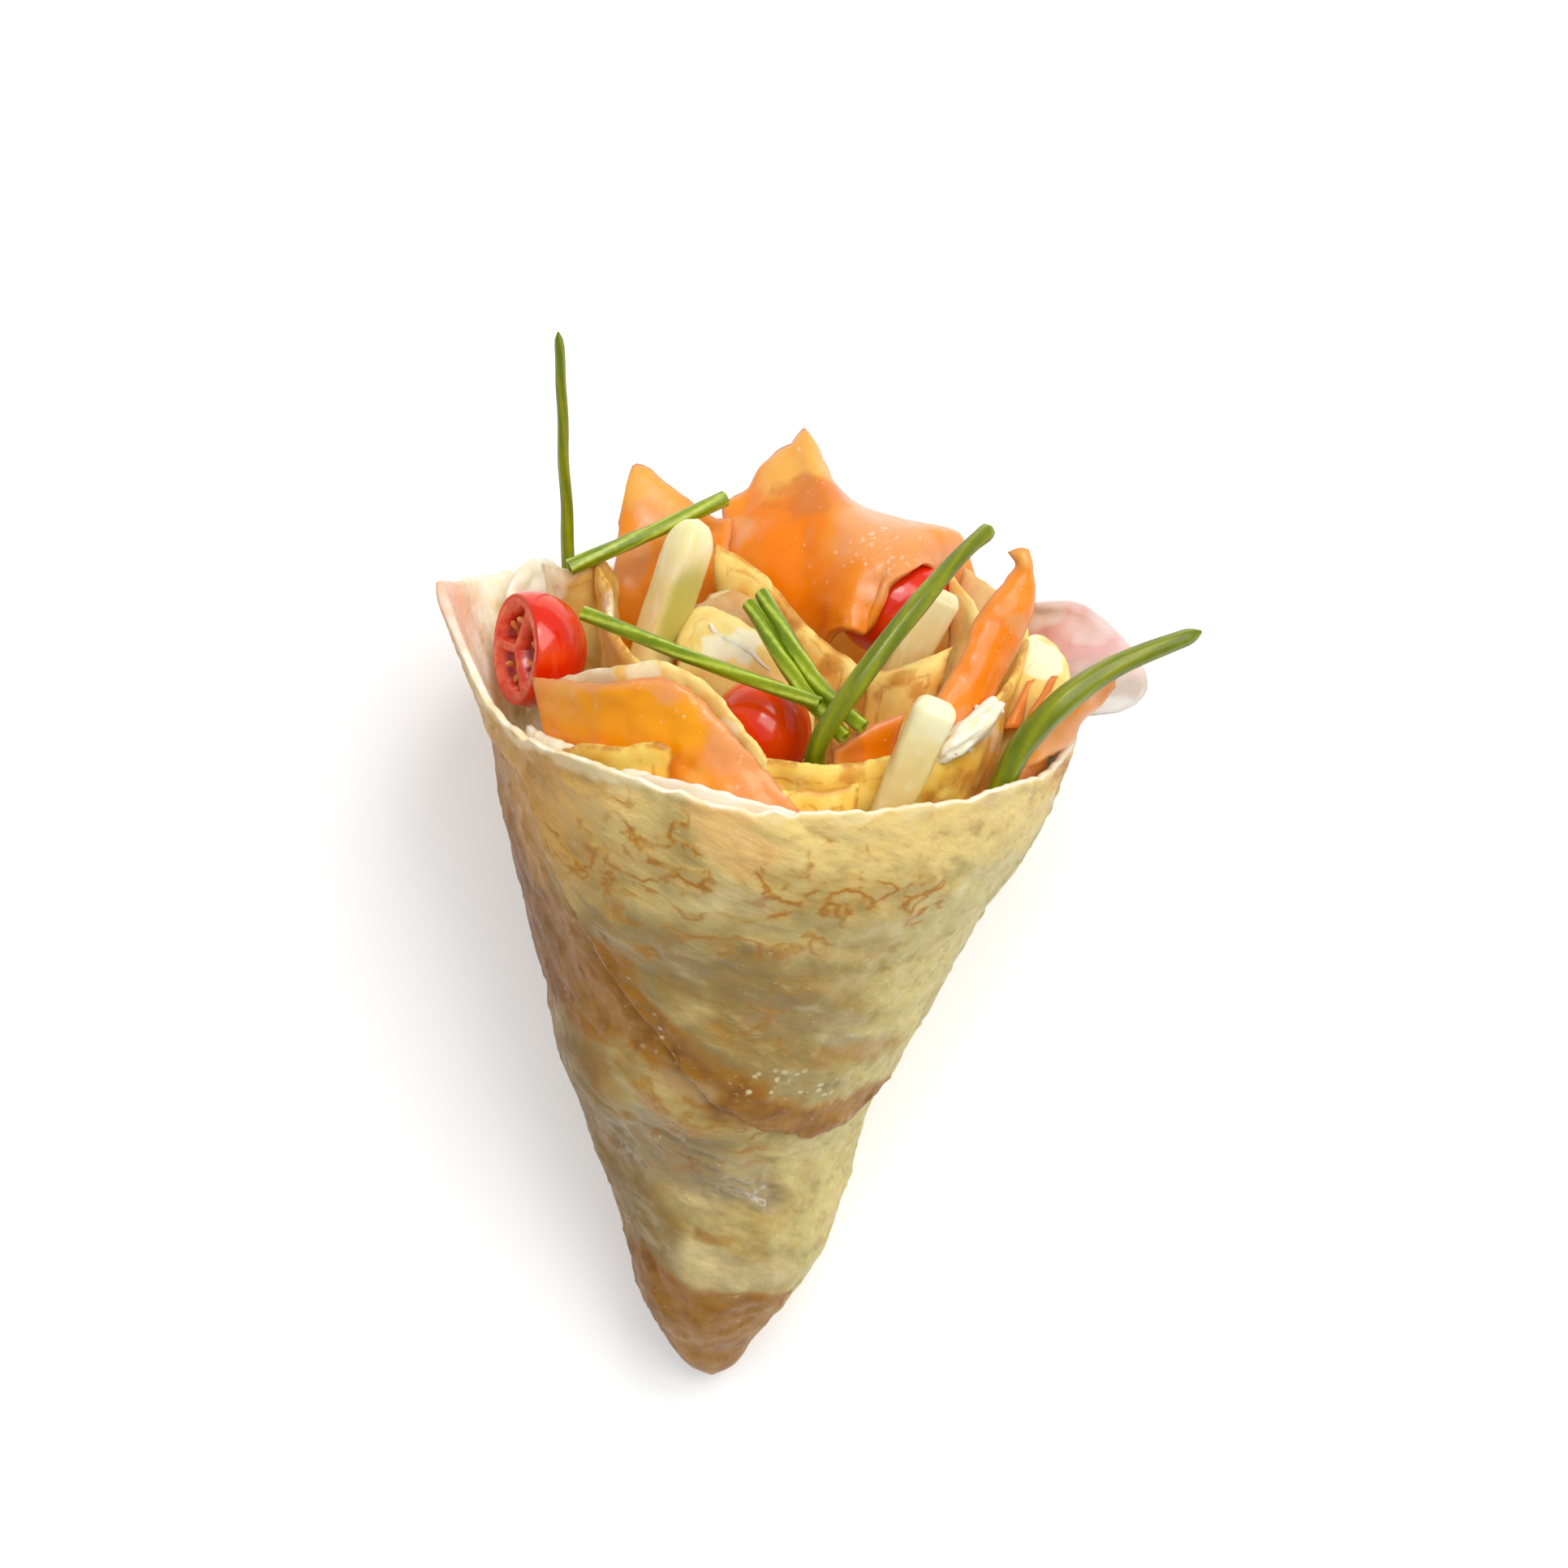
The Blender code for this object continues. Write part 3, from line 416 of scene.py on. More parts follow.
class Link:
    """A socket of a node tree, so that node maths reads as Python expressions."""

    def __init__(self, tree, socket=None):
        self.tree = tree
        self.socket = socket

    def node(self, kind, settings=(), sockets=(), out=0):
        """Adds a node: its settings first, then the values or links of its sockets."""
        added = self.tree.nodes.new(kind)
        for name, value in dict(settings).items():
            setattr(added, name, value)
        for name, value in dict(sockets).items():
            if isinstance(value, Link):
                self.tree.links.new(value.socket, added.inputs[name])
            else:
                added.inputs[name].default_value = value
        return Link(self.tree, added.outputs[out])

    def beside(self, out):
        """Another output of the same node."""
        return Link(self.tree, self.socket.node.outputs[out])

    def maths(self, operation, *values):
        return self.node("ShaderNodeMath", {"operation": operation}, dict(enumerate(values)))

    def __add__(self, other):
        return self.maths("ADD", self, other)

    def __sub__(self, other):
        return self.maths("SUBTRACT", self, other)

    def __rsub__(self, other):
        return self.maths("SUBTRACT", other, self)

    def __mul__(self, other):
        return self.maths("MULTIPLY", self, other)

    def __rtruediv__(self, other):
        return self.maths("DIVIDE", other, self)

    def __neg__(self):
        return self * -1.0

    __radd__ = __add__
    __rmul__ = __mul__

    def ramp(self, low, high):
        """Rises smoothly from 0 at low to 1 at high."""
        settings = {"interpolation_type": "SMOOTHSTEP"}
        sockets = {"Value": self, "From Min": low, "From Max": high}
        return self.node("ShaderNodeMapRange", settings, sockets)

    def line(self, middle, half_width):
        """1 where the value is close to the middle, falling to 0 at half a width away."""
        return self.maths("ABSOLUTE", self - middle).ramp(half_width, 0.0)

    def stirred(self, pattern, amount):
        """This mask, pushed up and down by a pattern of 0 to 1, so that its sides are irregular."""
        return self + (pattern - 0.5) * amount

    def mix(self, factor, first, second):
        settings = {"data_type": "RGBA"}
        return self.node("ShaderNodeMix", settings, {0: factor, 6: first, 7: second}, out=2)

    def under(self, mask, *colour):
        """This colour with another laid over it, as strongly as the mask says."""
        return self.mix(mask, self, paint(*colour))

    def grain(self, size, detail=2.0, roughness=0.5, distortion=0.0):
        """Noise on this vector, with a size in mm."""
        sockets = {
            "Vector": self,
            "Scale": (1 / MM) / size,
            "Detail": detail,
            "Roughness": roughness,
            "Distortion": distortion,
        }
        return self.node("ShaderNodeTexNoise", {}, sockets)

    def read(self, name):
        """A named attribute in a Geometry Nodes tree."""
        return self.node("GeometryNodeInputNamedAttribute", {"data_type": "FLOAT"}, {"Name": name})

    def store(self, name, value):
        """This geometry with a named attribute."""
        sockets = {"Geometry": self, "Name": name, "Value": value}
        return self.node("GeometryNodeStoreNamedAttribute", {"data_type": "FLOAT"}, sockets)

    def scaled(self, factor):
        """This vector, longer or shorter by a factor."""
        return self.node("ShaderNodeVectorMath", {"operation": "SCALE"}, {0: self, "Scale": factor})

    def attribute(self, name):
        return self.node("ShaderNodeAttribute", {"attribute_name": name}, {}, out="Fac")

    def stretched(self, longer, turn):
        """This vector, so that a pattern on it is longer along a direction turned from x."""
        sockets = {"Vector": self, "Rotation": (0.0, 0.0, turn), "Scale": (longer, 1.0, 1.0)}
        return self.node("ShaderNodeMapping", {"vector_type": "TEXTURE"}, sockets)

    def cells(self, size):
        """The distance to the nearest of scattered spots a size apart, in parts of that size."""
        sockets = {"Vector": self, "Scale": (1 / MM) / size}
        return self.node("ShaderNodeTexVoronoi", {"feature": "F1"}, sockets)

    def bump(self, height, distance, strength=1.0):
        sockets = {"Strength": strength, "Distance": distance * MM, "Height": height}
        return self.node("ShaderNodeBump", {}, sockets)


# How soft a finish is that light doesn't enter
NOT_SOFT = (0.0, (1.0, 0.2, 0.1), 50)


def new_finish(name, soft, constants):
    """A material, its shader and its Object coordinates. Soft is how much light spreads inside it,
    in which colours and how far in mm; the constants are the rest of the shader's fixed values."""
    material = bpy.data.materials.new(name)
    material.use_nodes = True
    shader = material.node_tree.nodes["Principled BSDF"]
    shader.inputs["Subsurface Weight"].default_value = soft[0]
    shader.inputs["Subsurface Radius"].default_value = soft[1]
    shader.inputs["Subsurface Scale"].default_value = soft[2] * MM
    for socket, value in constants.items():
        shader.inputs[socket].default_value = value
    place = Link(material.node_tree).node("ShaderNodeTexCoord", {}, {}, out="Object")
    return material, shader, place


def feed(shader, **links):
    """Links the results to the shader's sockets."""
    for name, link in links.items():
        socket = shader.inputs[name.replace("_", " ")]
        link.tree.links.new(link.socket, socket)


def outer_crepe_finish():
    """Thin pancake: khaki and mottled, with soft brown lace lines and broad browned bands."""
    soft = (0.12, (1.0, 0.55, 0.25), 3)
    constants = {"Specular IOR Level": 0.25, "Coat Roughness": 0.18}
    material, shader, place = new_finish("outer_crepe", soft, constants)
    tone = place.attribute
    vast = place.grain(30.0, 2.0, 0.5)
    broad = place.grain(13.0, 3.0, 0.5)
    cloudy = place.grain(5.5, 3.0, 0.5)
    fine = place.grain(1.3, 3.0, 0.6)
    wavy = place.stretched(2.0, -0.2).grain(9.0, 2.0, 0.5, 0.8)
    thin = place.grain(3.8, 2.0, 0.5)
    streak = place.stretched(3.4, -0.45).grain(4.0, 3.0, 0.55)
    bubbles = place.cells(2.4).ramp(0.34, 0.2) * tone("bubbles") * thin.ramp(0.4, 0.5)
    brown = tone("brown")
    lace = tone("lace")
    dent = tone("dent")
    base = place.mix(broad.ramp(0.35, 0.65), paint(188, 160, 92), paint(216, 193, 124))
    base = base.under(vast.ramp(0.5, 0.32) * 0.4, 150, 124, 68)
    base = base.under(vast.ramp(0.5, 0.68) * 0.4, 230, 212, 150)
    base = base.under(cloudy.ramp(0.5, 0.34) * 0.28, 148, 120, 68)
    base = base.under(cloudy.ramp(0.52, 0.74) * 0.35, 238, 222, 168)
    # Lighter golden colour, partly painted light on the cone's brightest parts
    base = base.under(tone("light") * 0.85, 252, 220, 136)
    # Olive brown, partly painted shade on the cone's left and lower parts
    base = base.under(tone("tan").stirred(cloudy, 0.6).ramp(0.05, 1.0) * 0.75, 134, 104, 54)
    base = base.under(tone("green") * 0.55, 216, 206, 134)
    # Painted highlight and painted shade along the slanting wrinkles: lighter on their crests, darker
    # between them
    base = base.under(streak.ramp(0.52, 0.76) * 0.42, 236, 218, 154)
    base = base.under(streak.ramp(0.47, 0.26) * 0.45, 138, 112, 60)
    # Lilac-grey in the dents, partly painted shade in the hollows; then painted glints, pale streaks of
    # highlight where the dents are deepest
    base = base.under(dent.stirred(cloudy, 0.9).ramp(0.0, 1.3) * 0.7, 164, 146, 118)
    glints = dent.ramp(0.88, 1.0) * streak.stirred(thin, 0.4).line(0.56, 0.06)
    base = base.under(glints * 0.6, 232, 222, 214)
    base = base.under(tone("pink").stirred(cloudy, 0.8).ramp(0.0, 1.3) * 0.6, 240, 178, 112)
    base = base.under(tone("amber").stirred(cloudy, 0.7).ramp(0.0, 1.2) * 0.6, 212, 140, 58)
    # Painted shade with browning: the cone's left side darker, partly browned crepe and partly shade
    # where less light falls
    base = base.under(tone("left") * 0.75, 116, 76, 30)
    patchy = brown + (cloudy - 0.5) * 0.9 + (thin - 0.5) * 0.5
    # The browned colour is also darker on the left side: painted shade there too
    toasted = place.mix(tone("left"), paint(170, 110, 12), paint(126, 74, 14))
    base = place.mix(patchy.ramp(0.05, 0.95) * 0.9, base, toasted)
    darker = brown + (thin - 0.5) * 0.9 + (broad - 0.5) * 0.9
    base = base.under(darker.ramp(0.65, 1.4) * 0.75, 116, 66, 10)
    ochre = (tone("ochre") + (cloudy - 0.5) * 1.2 + (thin - 0.5) * 0.9).ramp(0.2, 1.6)
    base = base.under(ochre * 0.7, 208, 146, 34)
    path = wavy + (thin - 0.5) * 0.3
    halo = path.line(0.5, 0.2) * lace * cloudy.ramp(0.38, 0.52)
    lines = path.line(0.5, 0.06) * lace * cloudy.stirred(fine, 0.2).ramp(0.4, 0.5)
    base = base.under(halo * 0.5, 210, 160, 74)
    base = base.under(lines * 0.85, 176, 112, 18)
    base = base.under(tone("pale") * 0.6, 246, 230, 184)
    base = base.under(bubbles * 0.75, 244, 228, 180)
    base = base.under(fine.stirred(streak, 0.3).ramp(0.66, 0.76) * 0.35, 246, 234, 192)
    inner = place.mix(cloudy.ramp(0.4, 0.66), paint(252, 244, 222), paint(248, 226, 182))
    base = place.mix(tone("inside"), base, inner)
    corner = tone("corner").stirred(cloudy, 0.9).ramp(0.1, 1.3)
    base = base.under(corner * 0.75, 240, 176, 148)
    height = cloudy * 0.6 + fine * 0.06 + streak * (1.2 - brown * 0.9) + halo * 0.1
    feed(
        shader,
        Base_Color=base,
        Roughness=0.46 - cloudy.ramp(0.5, 0.7) * 0.12 - dent * 0.15,
        Coat_Weight=dent * 0.45 + streak.ramp(0.5, 0.7) * 0.15,
        Normal=place.bump(height, 1.1, 0.6),
    )
    return material


def fold_finish(name, pale, golden, toast, edge_toast):
    """Crepe inside the mouth: smooth and golden, with toasted spots and a thin browned edge."""
    soft = (0.3, (1.0, 0.6, 0.2), 3)
    constants = {"Specular IOR Level": 0.3, "Coat Weight": 0.05, "Coat Roughness": 0.2}
    material, shader, place = new_finish(name, soft, constants)
    tone = place.attribute
    cloudy = place.grain(6.0, 3.0, 0.5)
    fine = place.grain(1.4, 3.0, 0.6)
    wavy = place.grain(4.5, 4.0, 0.6, 0.5)
    edge = tone("edge")
    base = place.mix(cloudy.ramp(0.36, 0.66), pale, golden)
    # Painted shade spots: darker where the fold lies in shadow
    base = base.under(tone("shades") * 0.7, 222, 178, 96)
    base = base.under(tone("creams").stirred(wavy, 0.7).ramp(0.3, 0.75) * 0.8, 253, 244, 214)
    spots = tone("toasts") + toast * 0.4 + (wavy - 0.5) * 1.3 + (fine - 0.5) * 0.3
    base = base.under(spots.ramp(0.4, 0.95) * 0.75, 208, 138, 50)
    base = base.under(spots.ramp(0.95, 1.4) * 0.6, 166, 98, 30)
    rim = edge.ramp(1.4, 0.1) * cloudy.stirred(fine, 0.6).ramp(0.36, 0.6)
    base = base.under(rim * edge_toast * 0.75, 180, 108, 36)
    layer = edge.stirred(cloudy, 3.0).line(3.4, 0.55) * wavy.ramp(0.4, 0.55)
    base = base.under(layer * edge_toast * 0.6, 196, 128, 46)
    height = cloudy * 0.5 + fine * 0.12 + wavy * 0.3
    feed(
        shader,
        Base_Color=base,
        Roughness=0.44 - cloudy.ramp(0.5, 0.7) * 0.14,
        Normal=place.bump(height, 0.6, 0.35),
    )
    return material


def salmon_finish(name, body, warm, peach):
    """Smoked salmon: moist and translucent, deep orange in places, peach and thin at its edges."""
    soft = (0.15, (1.0, 0.4, 0.1), 3)
    constants = {"Specular IOR Level": 0.3, "Coat Weight": 0.15, "Coat Roughness": 0.15}
    material, shader, place = new_finish(name, soft, constants)
    tone = place.attribute
    broad = place.grain(12.0, 3.0, 0.5)
    cloudy = place.grain(4.5, 3.0, 0.55)
    fine = place.grain(1.5, 3.0, 0.6)
    fibre = place.stretched(4.0, 0.9).grain(2.2, 3.0, 0.5)
    edge = tone("edge")

    def spotted(label, spread=0.5):
        return (tone(label) + (cloudy - 0.5) * spread).ramp(0.15, 0.85)

    base = place.mix(broad.ramp(0.35, 0.65), body, warm)
    base = place.mix(fibre.ramp(0.54, 0.72) * 0.18, base, peach)
    base = base.under(spotted("deep"), 242, 128, 0)
    base = base.under(spotted("yellow"), 248, 160, 14)
    base = base.under(spotted("light"), 240, 172, 78)
    base = place.mix(spotted("peach", 0.8) * 0.9, base, peach)
    base = base.under(spotted("brownish", 1.6) * 0.7, 208, 116, 44)
    base = place.mix((edge + cloudy * 1.6).ramp(2.8, 0.9) * 0.6, base, peach)
    base = base.under(edge.ramp(0.8, 0.05) * 0.45, 200, 122, 72)
    flecks = (fine + tone("flecks") * 0.12 + (cloudy - 0.5) * 0.3).ramp(0.66, 0.76)
    base = base.under(flecks * 0.55, 255, 218, 186)
    height = cloudy * 0.5 + fibre * 0.25
    feed(
        shader,
        Base_Color=base,
        Roughness=0.34 - fibre.ramp(0.4, 0.7) * 0.12,
        Normal=place.bump(height, 0.6, 0.35),
    )
    return material


def ham_finish():
    """A thin pink slice that turns clear grey and white at its outer end."""
    soft = (0.4, (1.0, 0.6, 0.5), 4)
    constants = {"Coat Weight": 0.35, "Coat Roughness": 0.2}
    material, shader, place = new_finish("ham", soft, constants)
    tone = place.attribute
    cloudy = place.grain(7.0, 2.0, 0.5)
    fine = place.grain(1.6, 3.0, 0.55)
    outer = tone("outer")
    base = place.mix(cloudy.ramp(0.4, 0.62), paint(246, 212, 208), paint(238, 190, 188))
    base = base.under(tone("pinks") * 0.6, 228, 166, 160)
    # Painted highlights: whitish spots of shine on the ham
    base = base.under(tone("whites").stirred(cloudy, 0.8).ramp(0.3, 0.8) * 0.7, 250, 234, 230)
    base = base.under(outer.stirred(cloudy, 0.4).ramp(0.42, 0.66) * 0.9, 198, 192, 178)
    base = base.under(outer.stirred(cloudy, 0.6).ramp(0.74, 0.9) * 0.6, 226, 230, 222)
    base = base.under(tone("edge").ramp(1.2, 0.1) * 0.4, 206, 190, 180)
    feed(
        shader,
        Base_Color=base,
        Roughness=0.32 - fine * 0.1,
        Normal=place.bump(cloudy * 0.6 + fine * 0.12, 0.6, 0.4),
    )
    return material


def tomato_finish():
    """Tomato skin: deep glossy red, a little orange where it is lit through."""
    soft = (0.1, (1.0, 0.2, 0.05), 3)
    constants = {
        "Roughness": 0.2,
        "Specular IOR Level": 0.35,
        "Coat Weight": 0.35,
        "Coat Roughness": 0.06,
    }
    material, shader, place = new_finish("tomato_skin", soft, constants)
    broad = place.grain(9.0, 1.0, 0.4)
    fine = place.grain(0.7, 2.0, 0.5)
    base = place.mix(broad.ramp(0.35, 0.65), paint(222, 40, 2), paint(236, 72, 8))
    base = base.under(fine.ramp(0.66, 0.76) * 0.25, 250, 150, 70)
    feed(shader, Base_Color=base, Normal=place.bump(fine, 0.12, 0.15))
    return material


def tomato_flesh_finish():
    """The cut face of the halved tomato: wet red flesh, paler along its walls."""
    soft = (0.4, (1.0, 0.25, 0.1), 4)
    constants = {"Coat Weight": 0.5, "Coat Roughness": 0.12}
    material, shader, place = new_finish("tomato_flesh", soft, constants)
    tone = place.attribute
    cloudy = place.grain(3.0, 3.0, 0.6)
    fine = place.grain(0.8, 3.0, 0.6)
    deep = tone("deep")
    rimward = tone("rimward")
    base = place.mix(cloudy.ramp(0.38, 0.66), paint(222, 62, 30), paint(236, 100, 62))
    # Painted shade: darker red the deeper the seed chambers are sunk into the cut face
    base = base.under(deep.ramp(0.3, 0.85), 180, 30, 4)
    base = base.under((fine * 0.5 + deep - 0.5).ramp(0.6, 0.8) * 0.4, 222, 104, 30)
    base = base.under(rimward.line(0.92, 0.06) * cloudy.ramp(0.4, 0.6) * 0.4, 248, 170, 126)
    base = base.under(rimward.ramp(0.95, 0.99), 206, 34, 6)
    height = cloudy * 0.5 + fine * 0.2
    feed(shader, Base_Color=base, Roughness=0.3 - fine * 0.12, Normal=place.bump(height, 0.4, 0.3))
    return material


def tomato_seed_finish():
    """Seeds in their wet jelly: yellow orange and clear."""
    soft = (0.4, (1.0, 0.5, 0.15), 2)
    constants = {"Coat Weight": 0.4, "Coat Roughness": 0.15}
    material, shader, place = new_finish("tomato_seed", soft, constants)
    cloudy = place.grain(1.2, 2.0, 0.5)
    base = place.mix(cloudy.ramp(0.4, 0.6), paint(232, 120, 40), paint(240, 168, 84))
    feed(shader, Base_Color=base, Roughness=0.35 - cloudy * 0.1, Normal=place.bump(cloudy, 0.2, 0.3))
    return material


def stick_finish(name, pale, warm):
    """Pale vegetable: moist, faintly fibrous, with a green tinge towards one side."""
    soft = (0.5, (1.0, 0.9, 0.4), 5)
    constants = {"Specular IOR Level": 0.35, "Coat Weight": 0.1, "Coat Roughness": 0.25}
    material, shader, place = new_finish(name, soft, constants)
    tone = place.attribute
    fibre = place.stretched(8.0, 1.15).grain(1.5, 3.0, 0.5)
    cloudy = place.grain(9.0, 2.0, 0.5)
    clear = tone("clear")
    green = tone("green")
    base = place.mix(cloudy.ramp(0.35, 0.65), pale, warm)
    base = base.under(clear * 0.8, 230, 198, 124)
    base = base.under(fibre.ramp(0.52, 0.7) * 0.3, 252, 248, 220)
    tinged = (green + (cloudy - 0.5) * 0.9 + (fibre - 0.5) * 0.4).ramp(0.05, 0.9)
    base = base.under(tinged * 0.7, 174, 172, 54)
    feed(shader, Base_Color=base, Roughness=0.38 - fibre * 0.12, Normal=place.bump(fibre, 0.3, 0.3))
    return material


def chive_finish(name, dark, light, streak, contrast):
    """A chive: olive green, with brighter glossy streaks along it, which are painted highlights with
    painted shade between them, and a light hollow end.
    """
    soft = (0.1, (0.6, 1.0, 0.1), 2)
    constants = {"Specular IOR Level": 0.35, "Coat Weight": 0.15, "Coat Roughness": 0.2}
    material, shader, place = new_finish(name, soft, constants)
    tone = place.attribute
    around = tone("around")
    length = tone("along")
    streaks = (around.maths("SINE", around * 6.2832 * 4 + length * 3.0)) * 0.5 + 0.5
    streaks = streaks * 0.6 + place.grain(1.1, 2.0, 0.5) * 0.5
    broad = place.grain(10.0, 2.0, 0.5)
    base = place.mix(broad.ramp(0.35, 0.65), dark, light)
    # Painted highlight streaks along the chive, and painted shade between them
    base = place.mix(streaks.ramp(0.5, 0.95) * contrast, base, streak)
    base = base.under(streaks.ramp(0.45, 0.2) * 0.35, 86, 106, 0)
    base = base.under(tone("hollow") * 0.7, 176, 188, 96)
    shine = 0.38 - streaks.ramp(0.5, 0.9) * 0.12
    feed(shader, Base_Color=base, Roughness=shine, Normal=place.bump(streaks, 0.15, 0.4))
    return material


def cream_finish():
    """Cream cheese: soft white, a little yellower and darker in its hollows, which is painted shade."""
    soft = (0.45, (1.0, 0.85, 0.6), 3)
    constants = {}
    material, shader, place = new_finish("cream_cheese", soft, constants)
    lumps = place.grain(2.2, 3.0, 0.55)
    broad = place.grain(6.0, 2.0, 0.5)
    # Yellower where the lumps are low: painted shade in the hollows
    base = place.mix(lumps.ramp(0.3, 0.55), paint(252, 234, 188), paint(255, 248, 222))
    base = base.under(broad.ramp(0.55, 0.7) * 0.4, 250, 222, 186)
    feed(shader, Base_Color=base, Roughness=0.52 - lumps * 0.15, Normal=place.bump(lumps, 0.5, 0.35))
    return material


def add_object(name, data):
    obj = bpy.data.objects.new(name, data)
    bpy.context.scene.collection.objects.link(obj)
    return obj


def add_mesh(name, verts, faces, material, attributes=()):
    """A closed mesh object with faces turned outwards, in metres at the origin."""
    mesh = bpy.data.meshes.new(name)
    mesh.from_pydata([tuple(vert) for vert in verts], [], faces)
    for label, values in dict(attributes).items():
        layer = mesh.attributes.new(label, "FLOAT", "POINT")
        layer.data.foreach_set("value", np.asarray(values, dtype=np.float32).ravel())
    sketch = bmesh.new()
    sketch.from_mesh(mesh)
    bmesh.ops.recalc_face_normals(sketch, faces=sketch.faces)
    sketch.to_mesh(mesh)
    sketch.free()
    mesh.shade_smooth()
    mesh.materials.append(material)
    return add_object(name, mesh)


def dress(obj, slot, *nodes):
    """The piece rides on the body and stands for its CAD nodes."""
    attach(obj, "root")
    if nodes:
        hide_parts(*nodes)


def placed(point):
    """From mm from the mouth's centre to metres in the CAD's frame."""
    return (point + SHIFT) * MM


def new_tree(name, inputs, build):
    """A Geometry Nodes tree with named inputs, which ends in Realize Instances and Set Material."""
    tree = bpy.data.node_groups.new(name, "GeometryNodeTree")
    tree.interface.new_socket("Geometry", in_out="INPUT", socket_type="NodeSocketGeometry")
    tree.interface.new_socket("Geometry", in_out="OUTPUT", socket_type="NodeSocketGeometry")
    kinds = {float: "NodeSocketFloat", int: "NodeSocketInt"}
    for label, value in inputs.items():
        socket = tree.interface.new_socket(label, in_out="INPUT", socket_type=kinds[type(value)])
        socket.default_value = value
    tree.interface.new_socket("Material", in_out="INPUT", socket_type="NodeSocketMaterial")
    start = tree.nodes.new("NodeGroupInput")
    end = tree.nodes.new("NodeGroupOutput")
    given = {socket.name: Link(tree, socket) for socket in start.outputs if socket.name}
    result = build(given)
    result = result.node("GeometryNodeRealizeInstances", {}, {"Geometry": result})
    sockets = {"Geometry": result, "Material": given["Material"]}
    result = result.node("GeometryNodeSetMaterial", {}, sockets)
    tree.links.new(result.socket, end.inputs[0])
    return tree


def grown(obj, tree, material, values=()):
    """Runs a tree on an object and gives the result back as a plain mesh object."""
    modifier = obj.modifiers.new(tree.name, "NODES")
    modifier.node_group = tree
    named = {item.name: item.identifier for item in tree.interface.items_tree if item.in_out == "INPUT"}
    modifier[named["Material"]] = material
    for label, value in dict(values).items():
        modifier[named[label]] = value
    graph = bpy.context.evaluated_depsgraph_get()
    mesh = bpy.data.meshes.new_from_object(obj.evaluated_get(graph), depsgraph=graph)
    name = obj.name
    bpy.data.objects.remove(obj)
    mesh.name = name
    mesh.shade_smooth()
    return add_object(name, mesh)


def ring_faces(rows, count):
    """Quads between rings of a count of points, and a fan at each end to a pole."""
    faces = []
    for row in range(rows - 1):
        low, high = row * count, (row + 1) * count
        for i in range(count):
            j = (i + 1) % count
            faces.append((low + i, low + j, high + j, high + i))
    first_pole, last_pole = rows * count, rows * count + 1
    last = (rows - 1) * count
    for i in range(count):
        j = (i + 1) % count
        faces.append((j, i, first_pole))
        faces.append((last + i, last + j, last_pole))
    return faces


def with_poles(verts, sides):
    """The rings of points with the middles of the first and the last ring as poles."""
    return verts + [sum(verts[:sides], Vector()) / sides, sum(verts[-sides:], Vector()) / sides]


def ball_ways(rows, rings, sides):
    """Unit vectors in rings round the z axis, from the top down."""
    ways = []
    for row in rows:
        polar = math.pi * row / rings
        flat = math.sin(polar)
        for i in range(sides):
            around = math.tau * i / sides
            ways.append(Vector((flat * math.cos(around), flat * math.sin(around), math.cos(polar))))
    return ways


def near_marks(marks, arcs, reaches, over):
    """How strongly each point of the skin lies on the marks, which have soft irregular sides."""
    total = np.zeros(len(arcs))
    on_layer = {"over": over, "under": 1 - over}
    for half_width, strength, places, *layer in marks:
        knots = []
        for angle, reach in places:
            knots.append((between(SECTIONS, reach)[1] * math.radians(angle), reach))
        nearest = np.full(len(arcs), 1e9)
        for (ax, ay), (bx, by) in zip(knots, knots[1:]):
            run = np.array((bx - ax, by - ay))
            length = max(float(run @ run), 1e-9)
            share = np.clip(((arcs - ax) * run[0] + (reaches - ay) * run[1]) / length, 0, 1)
            distance = np.hypot(arcs - ax - share * run[0], reaches - ay - share * run[1])
            nearest = np.minimum(nearest, distance)
        t = np.clip((1.45 * half_width - nearest) / half_width, 0, 1)
        there = on_layer[layer[0]] if layer else 1.0
        total = np.maximum(total, strength * t * t * (3 - 2 * t) * there)
    return total


def crepe_skin_tree():
    """Fine puckers and blisters on the cone's skin, along its normals."""

    def build(given):
        start = given["Geometry"]
        place = start.node("GeometryNodeInputPosition")
        loose = start.read("loose")
        normal = start.node("GeometryNodeInputNormal")
        slant = {"Vector": place, "Angle": 0.45}
        turned = start.node("ShaderNodeVectorRotate", {"rotation_type": "Z_AXIS"}, slant)
        drawn = {0: turned, 1: (0.45, 1.0, 1.0)}
        long = start.node("ShaderNodeVectorMath", {"operation": "MULTIPLY"}, drawn)
        pucker = long.grain(given["Pucker width"], 3.0, 0.55)
        blister = place.grain(given["Blister width"])
        bubbles = start.read("bubbles")
        dome = place.cells(given["Bubble spacing"]).ramp(0.38, 0.1)
        crease = long.grain(given["Crease width"], 1.0, distortion=0.6)
        rise = (pucker - 0.5) * given["Pucker height"] * 2
        rise = rise + crease.line(0.5, 0.14) * start.read("dent") * given["Crease height"]
        rise = rise + blister.ramp(0.56, 0.74) * given["Blister height"]
        rise = rise + dome * bubbles * given["Bubble height"]
        rise = rise - start.read("dent") * given["Dent depth"]
        rise = rise * loose * MM
        moved = {"Geometry": start, "Offset": normal.scaled(rise)}
        return start.node("GeometryNodeSetPosition", {}, moved)

    inputs = {
        "Pucker height": 1.0,
        "Pucker width": 5.5,
        "Crease height": 0.9,
        "Crease width": 6.0,
        "Blister height": 0.35,
        "Blister width": 3.0,
        "Bubble height": 0.45,
        "Bubble spacing": 2.6,
        "Dent depth": 1.6,
    }
    return new_tree("Crepe skin", inputs, build)


